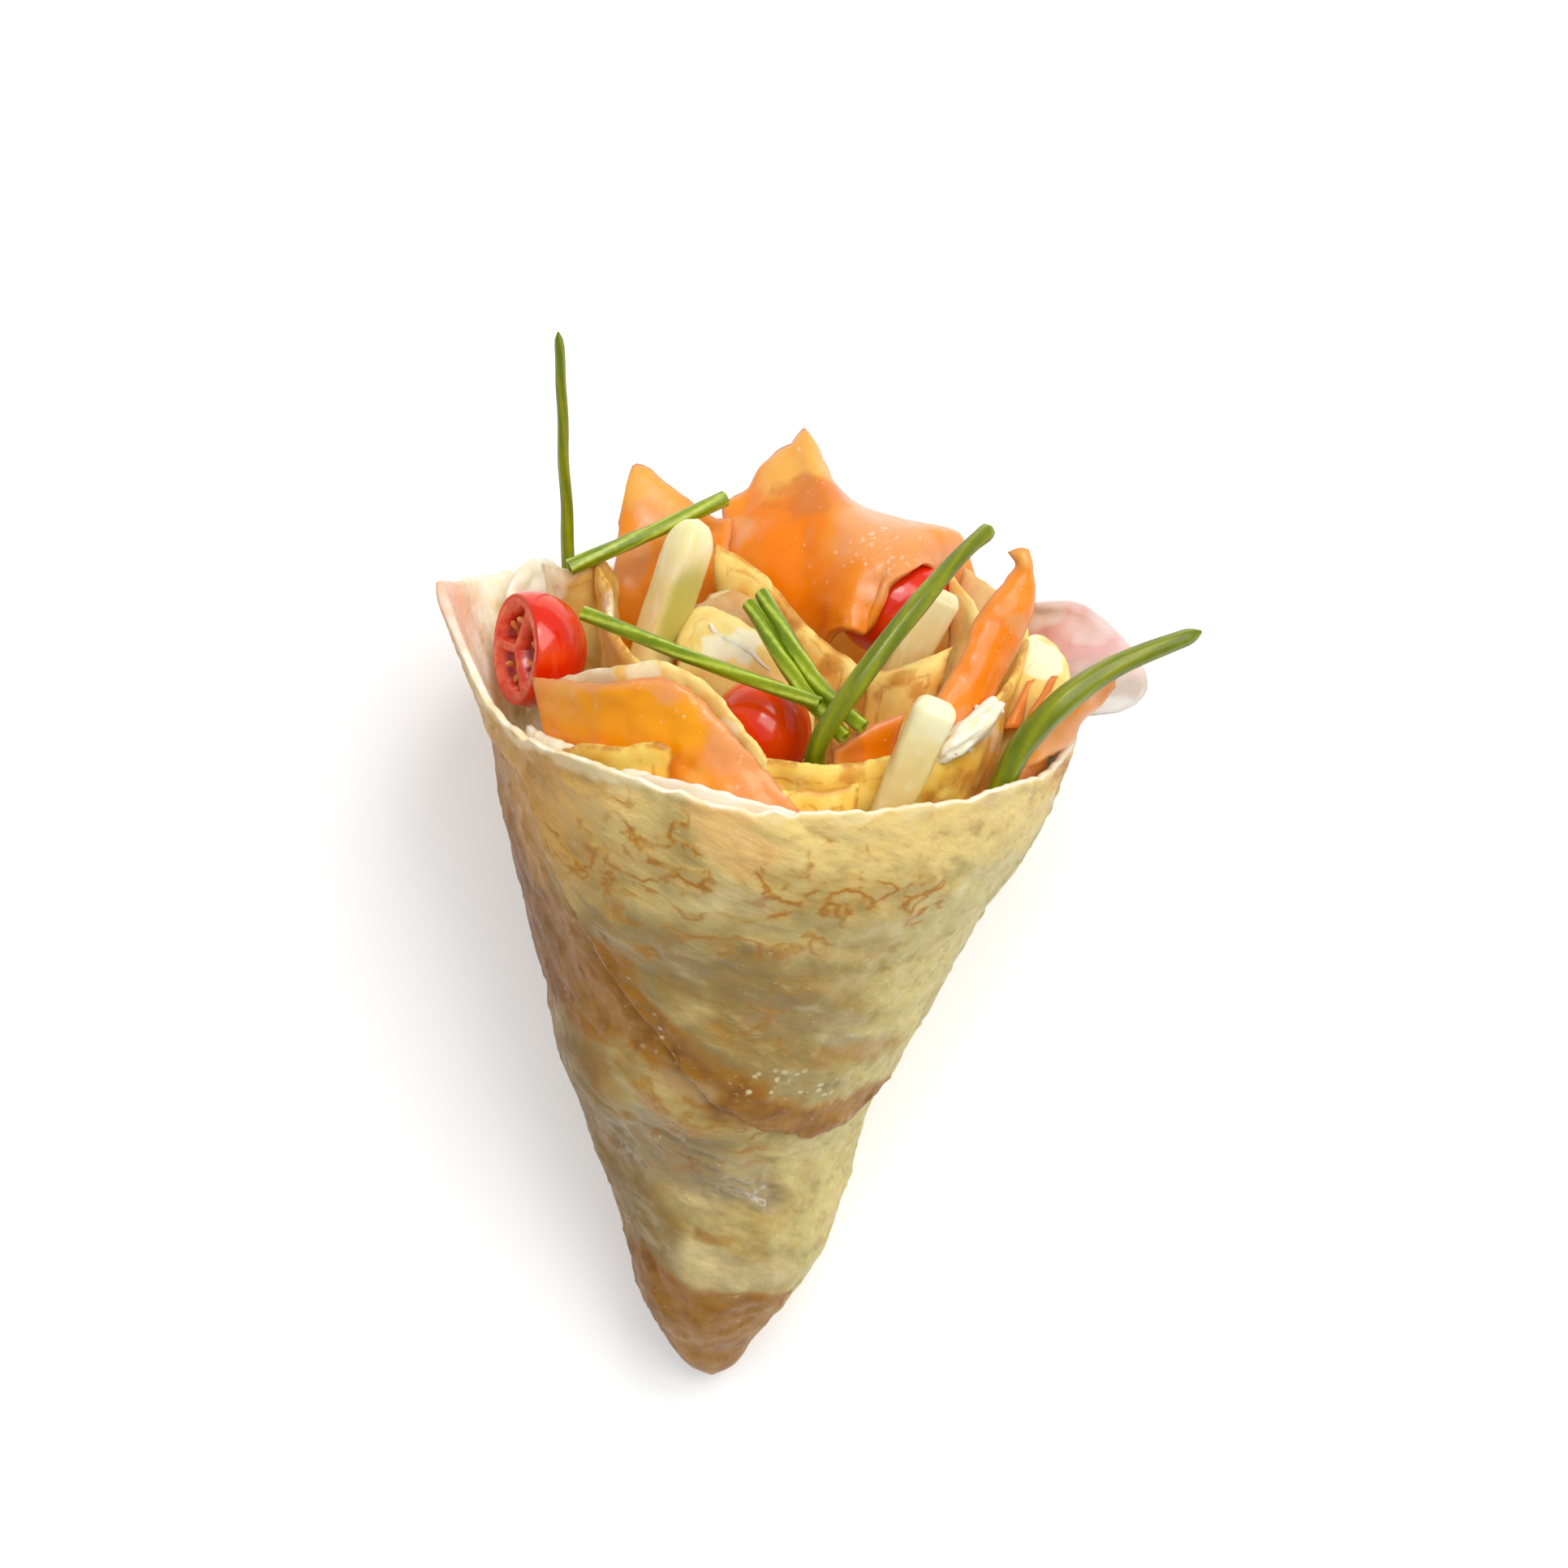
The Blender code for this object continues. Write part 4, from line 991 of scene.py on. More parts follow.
def make_outer_crepe(material):
    """The cone: the under layer, the outer wrap with its rounded edge, the rim and the cavity."""
    angles = [-180.0 + 360.0 * i / AROUND for i in range(AROUND)]
    tip = SECTIONS[0][0]
    floor = -CAVITY_DEPTH * math.cos(AXIS_TILT)
    columns = []
    for angle in angles:
        edge, step = wrap_row(angle)
        top = rim_reach(angle)
        low = -WRAP_STEP / 2
        high = low + WRAP_STEP * step
        spots = []
        for row in range(UNDER_ROWS):
            share = (row / (UNDER_ROWS - 1)) ** 0.95
            spots.append((tip + (edge - 0.1 - tip) * share, low, 0.0))
        spots.append((edge + 0.25 * step, low + 0.02, 0.0))
        spots.append((edge - 0.20 * step, low + 0.5 * (high - low), 1.0))
        spots.append((edge + 0.10 * step, low + 0.88 * (high - low), 1.0))
        for row in range(OVER_ROWS):
            share = (row + 1) / OVER_ROWS
            start = edge + 0.5 * step
            spots.append((start + (top - 0.5 - start) * share, high, 1.0))
        columns.append((angle, spots, top, high))
    rows = []
    flats = {"angle": [], "reach": [], "over": [], "loose": [], "inside": []}

    def add_point(point, *marks):
        rows.append(point)
        for values, mark in zip(flats.values(), marks):
            values.append(mark)

    for row in range(len(columns[0][1])):
        for angle, spots, top, high in columns:
            reach, layer, over = spots[row]
            mask = shown(angle, reach)
            stand = relief(angle, reach) + layer * mask
            loose = mask * smoothstep(0.0, 2.0, top - reach + 0.8)
            add_point(cone_point(angle, reach, -stand), angle, reach, over, loose, 0.0)
    for drop, inwards in ROUNDED_RIM:
        for angle, spots, top, high in columns:
            reach = top - drop
            stand = relief(angle, reach) + high * shown(angle, reach)
            add_point(cone_point(angle, reach, inwards - stand), angle, reach, 1.0, 0.0, 1.0)
    for row in range(INNER_ROWS + 1):
        share = row / INNER_ROWS
        for angle, spots, top, high in columns:
            reach = top - 0.6 + (floor - top + 0.6) * share
            stand = (relief(angle, reach) + high * shown(angle, reach)) * (1 - share)
            point = cone_point(angle, reach, CREPE_THICKNESS - stand)
            point.z = max(point.z, CREPE_THICKNESS + REST_FLAT)
            add_point(point, angle, reach, 1.0, 0.0, 1.0)
    last = rows[-AROUND:]
    middle = sum(last, Vector()) / AROUND
    for row in range(1, FLOOR_ROWS):
        narrowing = 1 - row / FLOOR_ROWS
        for point, angle in zip(last, angles):
            add_point(middle + (point - middle) * narrowing, angle, floor, 1.0, 0.0, 1.0)
    add_point(sum(rows[:AROUND], Vector()) / AROUND, 0.0, 0.0, 0.0, 0.0, 0.0)
    add_point(middle, 0.0, 0.0, 0.0, 0.0, 0.0)
    count = len(rows) // AROUND
    verts = []
    for point in rows:
        verts.append(placed(Vector((point.x, point.y, max(point.z - REST_FLAT, 0.0)))))
    data = {label: np.array(values) for label, values in flats.items()}
    attributes = skin_marks(data)
    attributes["loose"] = data["loose"]
    faces = ring_faces(count, AROUND)
    bare = add_mesh("outer_crepe", verts, faces, material, attributes)
    piece = grown(bare, crepe_skin_tree(), material)
    for vert in piece.data.vertices:
        if vert.co.z < 0:
            vert.co.z = 0.0
    dress(piece, "crepe", "crepe_cone")


def rising(values, low, width):
    """From 0 at low to 1 at a width above it, in a straight line."""
    return np.clip((values - low) / width, 0, 1)


def skin_marks(data):
    """The tones of each point of the cone's skin, from 0 to 1, by their names."""
    angles, reaches, inside = data["angle"], data["reach"].copy(), data["inside"]
    radii = np.array([between(SECTIONS, reach)[1] for reach in reaches])
    arcs = radii * np.radians(angles)
    for i in range(len(arcs)):
        spot = Vector((arcs[i] / 9.0, reaches[i] / 9.0, 0.0))
        small = Vector((arcs[i] / 3.0, reaches[i] / 3.0, 4.0))
        arcs[i] += 2.4 * noise.noise(spot) + 0.9 * noise.noise(small)
        spot.z += 9.0
        small.z += 9.0
        reaches[i] += 2.4 * noise.noise(spot) + 0.9 * noise.noise(small)
    tones = {tone: near_marks(marks, arcs, reaches, data["over"]) for tone, marks in MARKS.items()}
    tip_line = np.interp(angles, (-90, -61, -19, 40, 110), (-100, -102, -108, -113, -116))
    fading = np.interp(np.abs(angles), (50, 95), (2.5, 16.0))
    t = np.clip((tip_line - reaches + 1.0) / fading, 0, 1)
    tip = 0.88 * t * t * (3 - 2 * t)
    behind = rising(np.abs(angles), 105, 25)
    tones["brown"] = np.maximum(np.maximum(tones["brown"], tip), 0.45 * behind)
    tones["lace"] = np.maximum(np.maximum(tones["lace"], 0.18), 0.7 * behind)
    tones["green"] = rising(angles, 12, 40) * rising(-reaches, 8, 20)
    # Darker on the cone's left side, away from the rim: partly browned crepe, partly painted shade
    # where less light falls
    tones["left"] = rising(-angles, 34, 40) * rising(-reaches, 14, 16)
    amber = rising(-angles, 24, 24) * rising(reaches, -40, 24)
    amber_right = rising(angles, 52, 26) * rising(reaches, -28, 18)
    tones["amber"] = np.maximum(amber, 0.7 * amber_right)
    tones = {tone: values * (1 - inside) for tone, values in tones.items()}
    tones["corner"] = np.clip(1.3 - np.abs(angles + 88) / 14, 0, 1) * rising(reaches, 5, 6)
    tones["inside"] = inside
    return tones


def near_spots(spots, points):
    """How strongly each point lies in the spots of each tone, seen from above, in mm."""
    noise.seed_set(SPOT_SEED)
    sway = np.array([noise.noise_vector(Vector(point) / 4.5) for point in points])
    tones = {}
    for tone, places in spots.items():
        total = np.zeros(len(points))
        for x, y, radius, strength in places:
            sideways = points[:, 0] + 2.2 * sway[:, 0] - x
            upwards = points[:, 1] + 2.2 * sway[:, 1] - y
            distance = np.hypot(sideways, upwards)
            t = np.clip((1.5 * radius - distance) / radius, 0, 1)
            total = np.maximum(total, strength * t * t * (3 - 2 * t))
        tones[tone] = total
    return tones


def sheet_points(guides, thickness, seed, ruffle, crinkle, rag):
    """The middle surface of a sheet: a grid through the guide lines, ruffled, with a ragged top."""
    middle = guides[len(guides) // 2]
    width = sum((Vector(b) - Vector(a)).length for a, b in zip(middle, middle[1:]))
    ends = [along(guide, 0.5) for guide in guides]
    height = sum((b - a).length for a, b in zip(ends, ends[1:]))
    columns = max(int(width / SHEET_STEP), 8) + 1
    rows = max(int(height / SHEET_STEP), 8) + 1
    grid = np.empty((rows, columns, 3))
    for column in range(columns):
        across = column / (columns - 1)
        stations = [along(guide, across) for guide in guides]
        top = stations[-1]
        bite = noise.noise(Vector((top.x / 2.2, top.y / 2.2 + seed, top.z / 2.2)))
        nick = noise.noise(Vector((top.x / 0.9, top.y / 0.9 + seed, top.z / 0.9)))
        cut = rag * (0.5 + 0.7 * bite + 0.3 * nick)
        upper = 1 - max(cut, 0.0) / max(height, 1.0)
        for row in range(rows):
            x, f, u = along(stations, upper * row / (rows - 1))
            wave = noise.noise(Vector((x / 7.0, f / 7.0 + seed, u / 9.0)))
            small = noise.noise(Vector((x / 2.6, f / 2.6 + seed, u / 3.4 + 11.0)))
            f += ruffle * wave * 2 + crinkle * small * 2
            x += crinkle * noise.noise(Vector((x / 3.1 + 5.0, f / 3.1, u / 3.1 + seed))) * 2
            x, f = kept_inside(x, f, u, thickness)
            grid[row, column] = mouth_point(x, f, u)
    return grid


def make_sheet(
    name, guides, thickness, material, slot, suffix="", ruffle=0.5, crinkle=0.22, rag=0.8
):
    """A soft slice or fold with its thickness, thinner towards its free edges. One with a suffix
    stands for the CAD node of its name, and one without is in the scene alone."""
    seed = name_seed(name)
    grid = sheet_points(guides, thickness, seed, ruffle, crinkle, rag)
    rows, columns = grid.shape[:2]
    up = np.gradient(grid, axis=0)
    side = np.gradient(grid, axis=1)
    normals = np.cross(side, up)
    normals /= np.maximum(np.linalg.norm(normals, axis=2, keepdims=True), 1e-9)
    climbs = np.linalg.norm(np.diff(grid, axis=0), axis=2)
    spans = np.linalg.norm(np.diff(grid, axis=1), axis=2)
    from_top = np.zeros((rows, columns))
    from_top[:-1] = np.cumsum(climbs[::-1], axis=0)[::-1]
    from_left = np.zeros((rows, columns))
    from_left[:, 1:] = np.cumsum(spans, axis=1)
    from_right = from_left[:, -1:] - from_left
    edge = np.minimum(from_top, np.minimum(from_left, from_right))
    t = np.clip(edge / SHEET_EDGE, 0, 1)
    half = thickness / 2 * (SHEET_EDGE_SHARE + (1 - SHEET_EDGE_SHARE) * t * (2 - t))
    front = grid + normals * half[..., None]
    back = grid - normals * half[..., None]
    shift = np.array(SHIFT)
    verts = np.concatenate([front.reshape(-1, 3), back.reshape(-1, 3)]) + shift
    verts[:, 2] = np.maximum(verts[:, 2], 0.3)
    faces = []
    half_count = rows * columns

    def index(row, column):
        return row * columns + column

    for row in range(rows - 1):
        for column in range(columns - 1):
            a, b = index(row, column), index(row, column + 1)
            c, d = index(row + 1, column + 1), index(row + 1, column)
            faces.append((a, b, c, d))
            faces.append((half_count + d, half_count + c, half_count + b, half_count + a))
    border = [index(0, column) for column in range(columns)]
    border += [index(row, columns - 1) for row in range(1, rows)]
    border += [index(rows - 1, column) for column in range(columns - 2, -1, -1)]
    border += [index(row, 0) for row in range(rows - 2, 0, -1)]
    for a, b in zip(border, border[1:] + border[:1]):
        faces.append((b, a, half_count + a, half_count + b))
    across = np.tile(np.linspace(0, 1, columns), (rows, 1))
    attributes = {
        "edge": np.concatenate([edge.ravel(), edge.ravel()]),
        "outer": np.concatenate([across.ravel(), across.ravel()]),
    }
    attributes.update(near_spots(SPOTS.get(name, {}), verts))
    piece = add_mesh(name + suffix, verts * MM, faces, material, attributes)
    if suffix:
        dress(piece, slot, name)
    else:
        dress(piece, slot)


SALMON_SLICES = {
    "salmon_back": [
        [(-13, -27, -18), (-7, -24, -16), (-1, -20, -12), (4, -12, -4), (7.5, -5, 8.5),
         (10.2, -2, 11.0), (13.5, -2, 10), (14.6, -3, 14.6), (15.6, -4, 18.4), (18.8, -6, 20.6),
         (22, -11, 20.5), (25, -18, 15), (29, -22, 9), (34, -20, 5)],
        [(-13, -22, 14), (-8, -18, 16), (-3, -15, 16.5), (2, -13, 18), (6, -11, 21),
         (9, -10, 23.5), (12, -10, 24.5), (14.5, -11, 25), (17, -12, 25.5), (20, -14, 25.5),
         (24, -18, 24.5), (28, -22, 21), (31, -23, 15), (35, -21, 9)],
        [(-13.2, -30, 27.8), (-9.6, -32, 28.6), (-6.4, -34, 34.2), (-2.6, -35, 37),
         (-0.6, -36, 39.2), (1.6, -36, 34.6), (3.8, -35, 30), (7, -34, 26.6), (11, -33, 24.2),
         (16.4, -32, 22.8), (22, -30, 21.5), (28, -28, 19.5), (32, -24, 15), (36.5, -20, 12.8)],
    ],
    "salmon_back_left": [
        [(-34, -28, -26), (-24, -30, -26), (-12, -30, -26)],
        [(-33, -20, 8), (-24, -18, 10), (-12, -17, 12)],
        [(-29.8, -25, 25), (-28.0, -29, 34.5), (-21.4, -28, 30.2),
         (-15, -26, 25.4), (-11.4, -25, 25.4)],
    ],
    "salmon_front_left": [
        [(-43, 22, -24), (-34, 33, -24), (-20, 43, -24), (-9, 47, -24), (2, 48, -24)],
        [(-44, 23, -4), (-35, 33, -4), (-21, 43, -4), (-10, 47, -8), (2.6, 48.5, -14)],
        [(-44.6, 21, 9.4), (-32, 33, 12.6), (-20, 36, 14.6), (-8, 43, 4.6), (3, 48.5, -7.4)],
    ],
    "salmon_right": [
        [(18, 27, -20), (22, 28, -20), (26, 26, -20)],
        [(24.6, 27, 3.5), (28.9, 27.5, 1.5), (33, 24, -0.5)],
        [(28.2, 21.5, 12.3), (32.8, 22.5, 9.5), (37.2, 18, 6.4)],
        [(29.8, 16, 20.2), (34.4, 17, 17.8), (39.1, 13, 15.1)],
        [(33.1, 11.5, 25), (36.2, 12.5, 22.8), (39.2, 11, 20)],
        [(34.0, 10, 27.5), (35.4, 10.5, 27.5), (36.9, 10, 26.9)],
        [(32.3, 9, 29.6), (33.6, 9, 30.6), (35.2, 9, 30.4)],
    ],
    "salmon_right_rim": [
        [(38, 32, -24), (42, 27, -24), (46, 20, -24)],
        [(39.5, 33, -12), (45, 27, -11), (51, 15, -12)],
        [(40.9, 32.5, -7.4), (46.5, 27, -6.8), (53, 15, -8)],
        [(42, 29, -1.8), (47.5, 25, -3), (54.4, 17, -4.6)],
        [(47, 23, 4.2), (51, 20, 2.4), (55.2, 17.5, -0.9)],
        [(53.6, 16, 6.2), (55.8, 15, 3.6), (57.8, 13.5, 0.4)],
        [(57, 14, 7.2), (58.4, 13.6, 6.6), (59.2, 13.6, 5.2)],
    ],
    "salmon_centre": [
        [(10, 36, -18), (14, 36, -18), (19, 35, -18)],
        [(8.5, 36.5, 0.6), (13.5, 35, 3.6), (20.5, 31.5, 6.8)],
    ],
    "salmon_shred_low": [[(41.5, 12, -4), (44.5, 12, -4)], [(44.0, 9, 5), (45.2, 9, 5)]],
    "salmon_shred_high": [[(44, 16, -6), (47, 14, -6)], [(47.6, 10, 6), (48.9, 10, 6)]],
}

HAM_SLICE = [
    [(44, -24, -24), (47, -19, -24), (49, -13, -24), (50, -7, -24), (50.5, 0, -24)],
    [(44.5, -23, 4), (49, -18, 3), (52, -11, 0), (53, -4, -4), (53, 3, -6)],
    [(44, -18, 11), (51.6, -15, 12), (61, -7, 7.6), (67.8, 1, 1.6), (66, 5, -2), (58, 7, -3)],
]

RING_LINE = [(-8, 38), (5, 42.5), (14, 41.5), (24, 37), (33.4, 28), (38.5, 18), (41.6, 6), (42, -8)]
RING_LINE += [(38, -25), (26, -38), (9, -46), (-12, -47), (-30, -38)]
RING_TOPS = [0, 0, 0, 0.8, 2.8, 6.2, 9.4, 10.5, 9.5, 8.5, 8, 8, 7]

CREPE_FOLDS = {
    "fold_ring": [
        [(x, f, DEEP) for x, f in RING_LINE],
        [(x, f, top) for (x, f), top in zip(RING_LINE, RING_TOPS)],
    ],
    "fold_front": [
        [(-6, 46, -20), (4, 47.5, -20), (13.5, 46, -20)],
        [(-6, 46, -3.4), (4, 47.5, -3.6), (13.5, 46, -3)],
    ],
    "fold_front_left": [
        [(-40, 15, DEEP), (-30, 23, DEEP), (-20, 28, DEEP), (-10, 36, DEEP), (-4, 41, DEEP)],
        [(-41, 15, 7.2), (-30, 24, 13), (-21, 27, 14.6), (-13, 31, 10.5), (-7, 36, 4), (-3, 41, 0)],
    ],
    "fold_left": [
        [(-44, -22, DEEP), (-38, -15, DEEP), (-32, -15, DEEP)],
        [(-43.6, -14, 20.2), (-39, -10, 20.6), (-33.5, -12, 21.2), (-31, -16, 17)],
    ],
    "fold_curl": [
        [(-34, -9, DEEP), (-33, -4, DEEP), (-32, 3, DEEP),
         (-27, 10, DEEP), (-18, 17, DEEP), (-13, 24, DEEP)],
        [(-34.6, -10, 22), (-32.2, -6, 19), (-31.4, 0, 13.6),
         (-27, 8, 8.5), (-18, 16, 9.0), (-12.5, 23.5, 6.6)],
    ],
    "fold_diagonal": [
        [(-14, -10, DEEP), (-4, -2, DEEP), (5, 8, DEEP), (12, 15, DEEP)],
        [(-14, -10, 16), (-4, -2.5, 11.5), (5, 8.5, 5), (12, 15, 2)],
        [(-14.3, -12, 24.8), (-5.8, -6, 20.4), (3.3, 4, 12.9), (12.5, 12, 8.5)],
    ],
    "fold_right_band": [
        [(14, 19, DEEP), (20, 20, DEEP), (26, 19, DEEP)],
        [(14, 18, 2), (20, 19, 4), (27, 18, 6)],
        [(12.7, 14, 7.4), (19.5, 16, 10), (27.2, 15, 13.4)],
    ],
    "fold_centre": [
        [(-20, 6, DEEP), (-10, 9, DEEP), (6, 14, DEEP)],
        [(-20, 4, 4), (-10, 7, 3), (-2.5, 10, -1.5), (5.5, 14, -6)],
        [(-20, -3.6, 13), (-15, -2.6, 15.2), (-7.7, 0, 12.8), (-1.7, 3, 8), (3.2, 7, 4), (6.4, 11, 0)],
    ],
    "fold_centre_back": [
        [(-18, -5, DEEP), (-9, -0.5, DEEP), (-1, 5.5, DEEP)],
        [(-17.5, -8, 14), (-10, -5, 17.4), (-2.5, 0, 14)],
    ],
    "fold_back_right": [
        [(29, -8, DEEP), (33, -5, DEEP), (37, -8, DEEP)],
        [(30, -10, 2), (33, -6, 3), (36, -8, 5)],
        [(26.3, -14, 18.6), (29.8, -9, 16.3), (33.4, -6, 12.4), (36, -9, 12)],
    ],
    "fold_right_flap": [
        [(41, 4, -24), (44, 4, -24), (47, 6, -24)],
        [(41, 8, -2), (44.5, 9, -2), (48, 12, -2)],
        [(41.8, 3, 6), (45, 6, 5), (49.2, 9, 3.4), (52, 12, 1)],
        [(42.2, -4, 6.8), (44.3, -8, 8), (48, -4, 7.6), (51.4, 3, 4.8)],
    ],
    "fold_tab": [
        [(-42, 30, -16), (-34, 39, -16), (-28, 43, -16), (-23, 45, -16)],
        [(-41.5, 34, -0.4), (-36, 39, 2.4), (-30, 42.5, 3.6),
         (-25, 44, 4.6), (-21, 45, 4.8), (-19.4, 45.4, 2.6)],
    ],
}

# The folds' finishes: a pale and a golden colour, how toasted they are, and how toasted their edges
FOLD_FINISHES = {
    "golden": ((253, 218, 112), (250, 198, 84), 0.3, 0.9),
    "pale": ((252, 226, 146), (247, 204, 108), 0.3, 0.3),
    "olive": ((226, 202, 124), (212, 170, 84), 0.1, 0.5),
    "tan": ((240, 200, 146), (228, 176, 112), 0.1, 0.3),
    "toasted": ((252, 216, 126), (244, 188, 86), 0.5, 0.8),
    "membrane": ((253, 246, 226), (250, 228, 200), 0.05, 0.0),
}

# Which finish each fold takes
FOLD_TONES = {
    "fold_ring": "golden",
    "fold_front": "golden",
    "fold_front_left": "pale",
    "fold_left": "olive",
    "fold_curl": "toasted",
    "fold_diagonal": "toasted",
    "fold_right_band": "toasted",
    "fold_centre": "pale",
    "fold_centre_back": "tan",
    "fold_back_right": "pale",
    "fold_right_flap": "pale",
    "fold_tab": "golden",
}

# Each chive's line in the mouth's coordinates, its radius along the way, and if its end is closed
CHIVES = {
    "chive_upright": (
        [(-39.9, -22, -20), (-39.6, -20, 16), (-38.6, -18, 33), (-37.7, -16, 49), (-37, -14, 64)],
        (0.95, 0.95, 0.8, 0.75, 0.65),
        True,
    ),
    "chive_back": (
        [(-38.6, -8, 21), (-25.1, -13, 26), (-12.8, -20, 30.5)],
        (1.15, 1.05, 1.1),
        False,
    ),
    "chive_left": (
        [(-35.4, 14, 19.5), (-16, 23, 13.4), (5.2, 33, 8.2)],
        (1.0, 0.95, 0.95),
        False,
    ),
    "chive_centre_upper": (
        [(-6, 10, 21.9), (3.9, 26.5, 10.8), (13.4, 36, 4.6)],
        (1.0, 1.1, 1.0),
        False,
    ),
    "chive_centre_lower": (
        [(-8, 11.5, 20.4), (1.6, 27.5, 9.8), (10.4, 37.3, 3)],
        (1.0, 1.1, 1.0),
        False,
    ),
    "chive_diagonal": (
        [(5.6, 37, -6), (5.9, 39, 2.6), (10.4, 37, 13.6), (18.1, 27, 25.4), (24.5, 17, 32.6),
         (28.1, 12, 35.4)],
        (1.25, 1.35, 1.45, 1.4, 1.1, 1.2),
        True,
    ),
    "chive_right": (
        [(38.5, 31, -20), (40.6, 33, -8), (45.6, 31, 5), (54.1, 25, 12.5), (67.3, 19, 17.6)],
        (1.0, 1.45, 1.8, 1.5, 1.1),
        True,
    ),
}


def chive_tree():
    """A hollow ribbed blade along a curve that carries its own radius."""

    def build(given):
        start = given["Geometry"]
        count = {"Curve": start, "Count": given["Rings"]}
        line = start.node("GeometryNodeResampleCurve", {}, count)
        factor = start.node("GeometryNodeSplineParameter")
        line = line.store("along", factor.beside("Length") * 100.0)
        round_line = {"Resolution": given["Sides"], "Radius": given["Radius"]}
        profile = start.node("GeometryNodeCurvePrimitiveCircle", {}, round_line)
        turn = start.node("GeometryNodeSplineParameter")
        profile = profile.store("around", turn)
        place = start.node("GeometryNodeInputPosition")
        rib = start.maths("COSINE", turn * given["Ribs"] * 6.2832) * given["Rib height"]
        ribbed = {"Geometry": profile, "Offset": place.scaled(rib)}
        profile = start.node("GeometryNodeSetPosition", {}, ribbed)
        radius = start.node("GeometryNodeInputRadius")
        sockets = {"Curve": line, "Profile Curve": profile, "Scale": radius, "Fill Caps": True}
        tube = start.node("GeometryNodeCurveToMesh", {}, sockets)
        corners = start.node("GeometryNodeInputMeshFaceNeighbors")
        cap = start.maths("GREATER_THAN", corners, 5.0)
        lip = {"Mesh": tube, "Selection": cap, "Offset Scale": 0.0, "Individual": True}
        tube = start.node("GeometryNodeExtrudeMesh", {"mode": "FACES"}, lip)
        narrowed = {"Geometry": tube, "Selection": tube.beside("Top"), "Scale": given["Hollow"]}
        inner = start.node("GeometryNodeScaleElements", {"domain": "FACE"}, narrowed)
        sunk = {
            "Mesh": inner,
            "Selection": tube.beside("Top"),
            "Offset Scale": -given["Hollow depth"],
            "Individual": True,
        }
        tube = start.node("GeometryNodeExtrudeMesh", {"mode": "FACES"}, sunk)
        return tube.store("hollow", tube.beside("Top"))

    inputs = {
        "Rings": 60,
        "Sides": 24,
        "Radius": CHIVE_RADIUS * MM,
        "Ribs": 6.0,
        "Rib height": 0.05,
        "Hollow": 0.62,
        "Hollow depth": 1.2 * MM,
    }
    return new_tree("Chive", inputs, build)


def sweep(name, points, radii, tree, material, closed, thickness, hollow):
    """A blade or strand along a line, by the chive's tree, with its own radius along the way."""
    steps = SWEEP_STEPS
    curve = bpy.data.curves.new(name + "_line", "CURVE")
    curve.dimensions = "3D"
    spline = curve.splines.new("POLY")
    spline.points.add(steps)
    seed = name_seed(name)
    for step, knot in enumerate(spline.points):
        share = step / steps
        x, f, u = along(points, share)
        sway = 0.25 * noise.noise(Vector((share * 6, seed, 0)))
        knot.co = (*placed(mouth_point(x + sway, f - sway, u)), 1.0)
        radius = along([(radius,) * 3 for radius in radii], share).x
        if closed:
            radius *= math.sqrt(max(1 - smoothstep(0.955, 1.0, share) ** 2, 0.04))
        knot.radius = radius * (1 + 0.06 * noise.noise(Vector((share * 9, seed, 3))))
    values = {"Hollow depth": hollow * MM, "Radius": thickness * MM}
    return grown(add_object(name, curve), tree, material, values)


def make_chives():
    tree = chive_tree()
    # The third colour of each chive finish is that of its painted highlight streaks
    dark, light, streak = paint(112, 136, 0), paint(142, 158, 6), paint(196, 212, 86)
    fresh = chive_finish("chive_fresh", dark, light, streak, 0.8)
    dark, light, streak = paint(104, 116, 0), paint(126, 134, 0), paint(156, 160, 20)
    olive = chive_finish("chive_olive", dark, light, streak, 0.5)
    for name, (points, radii, closed) in CHIVES.items():
        hollow = 0.1 if closed else 1.2
        material = olive if closed else fresh
        blade = sweep(name + "_blade", points, radii, tree, material, closed, CHIVE_RADIUS, hollow)
        dress(blade, "chive", name)


# Each stick's top and foot in the mouth's coordinates, its width, its turn in degrees, the length of
# its rounded tip, how round its sides are, how green it is, and its finish
STICKS = {
    "stick_left": ((-16.9, -6, 31.0), (-33.2, 0, -18), 8.2, 38, 6.5, 0.6, 1.0, "pale"),
    "stick_right": ((24.3, 8, 21.8), (13, 6, -20), 7.0, 8, 1.8, 0.45, 0.0, "warm"),
    "stick_front": ((24.4, 42, 12.5), (17.5, 46, -24), 7.6, 4, 2.4, 0.5, 0.15, "pale"),
}


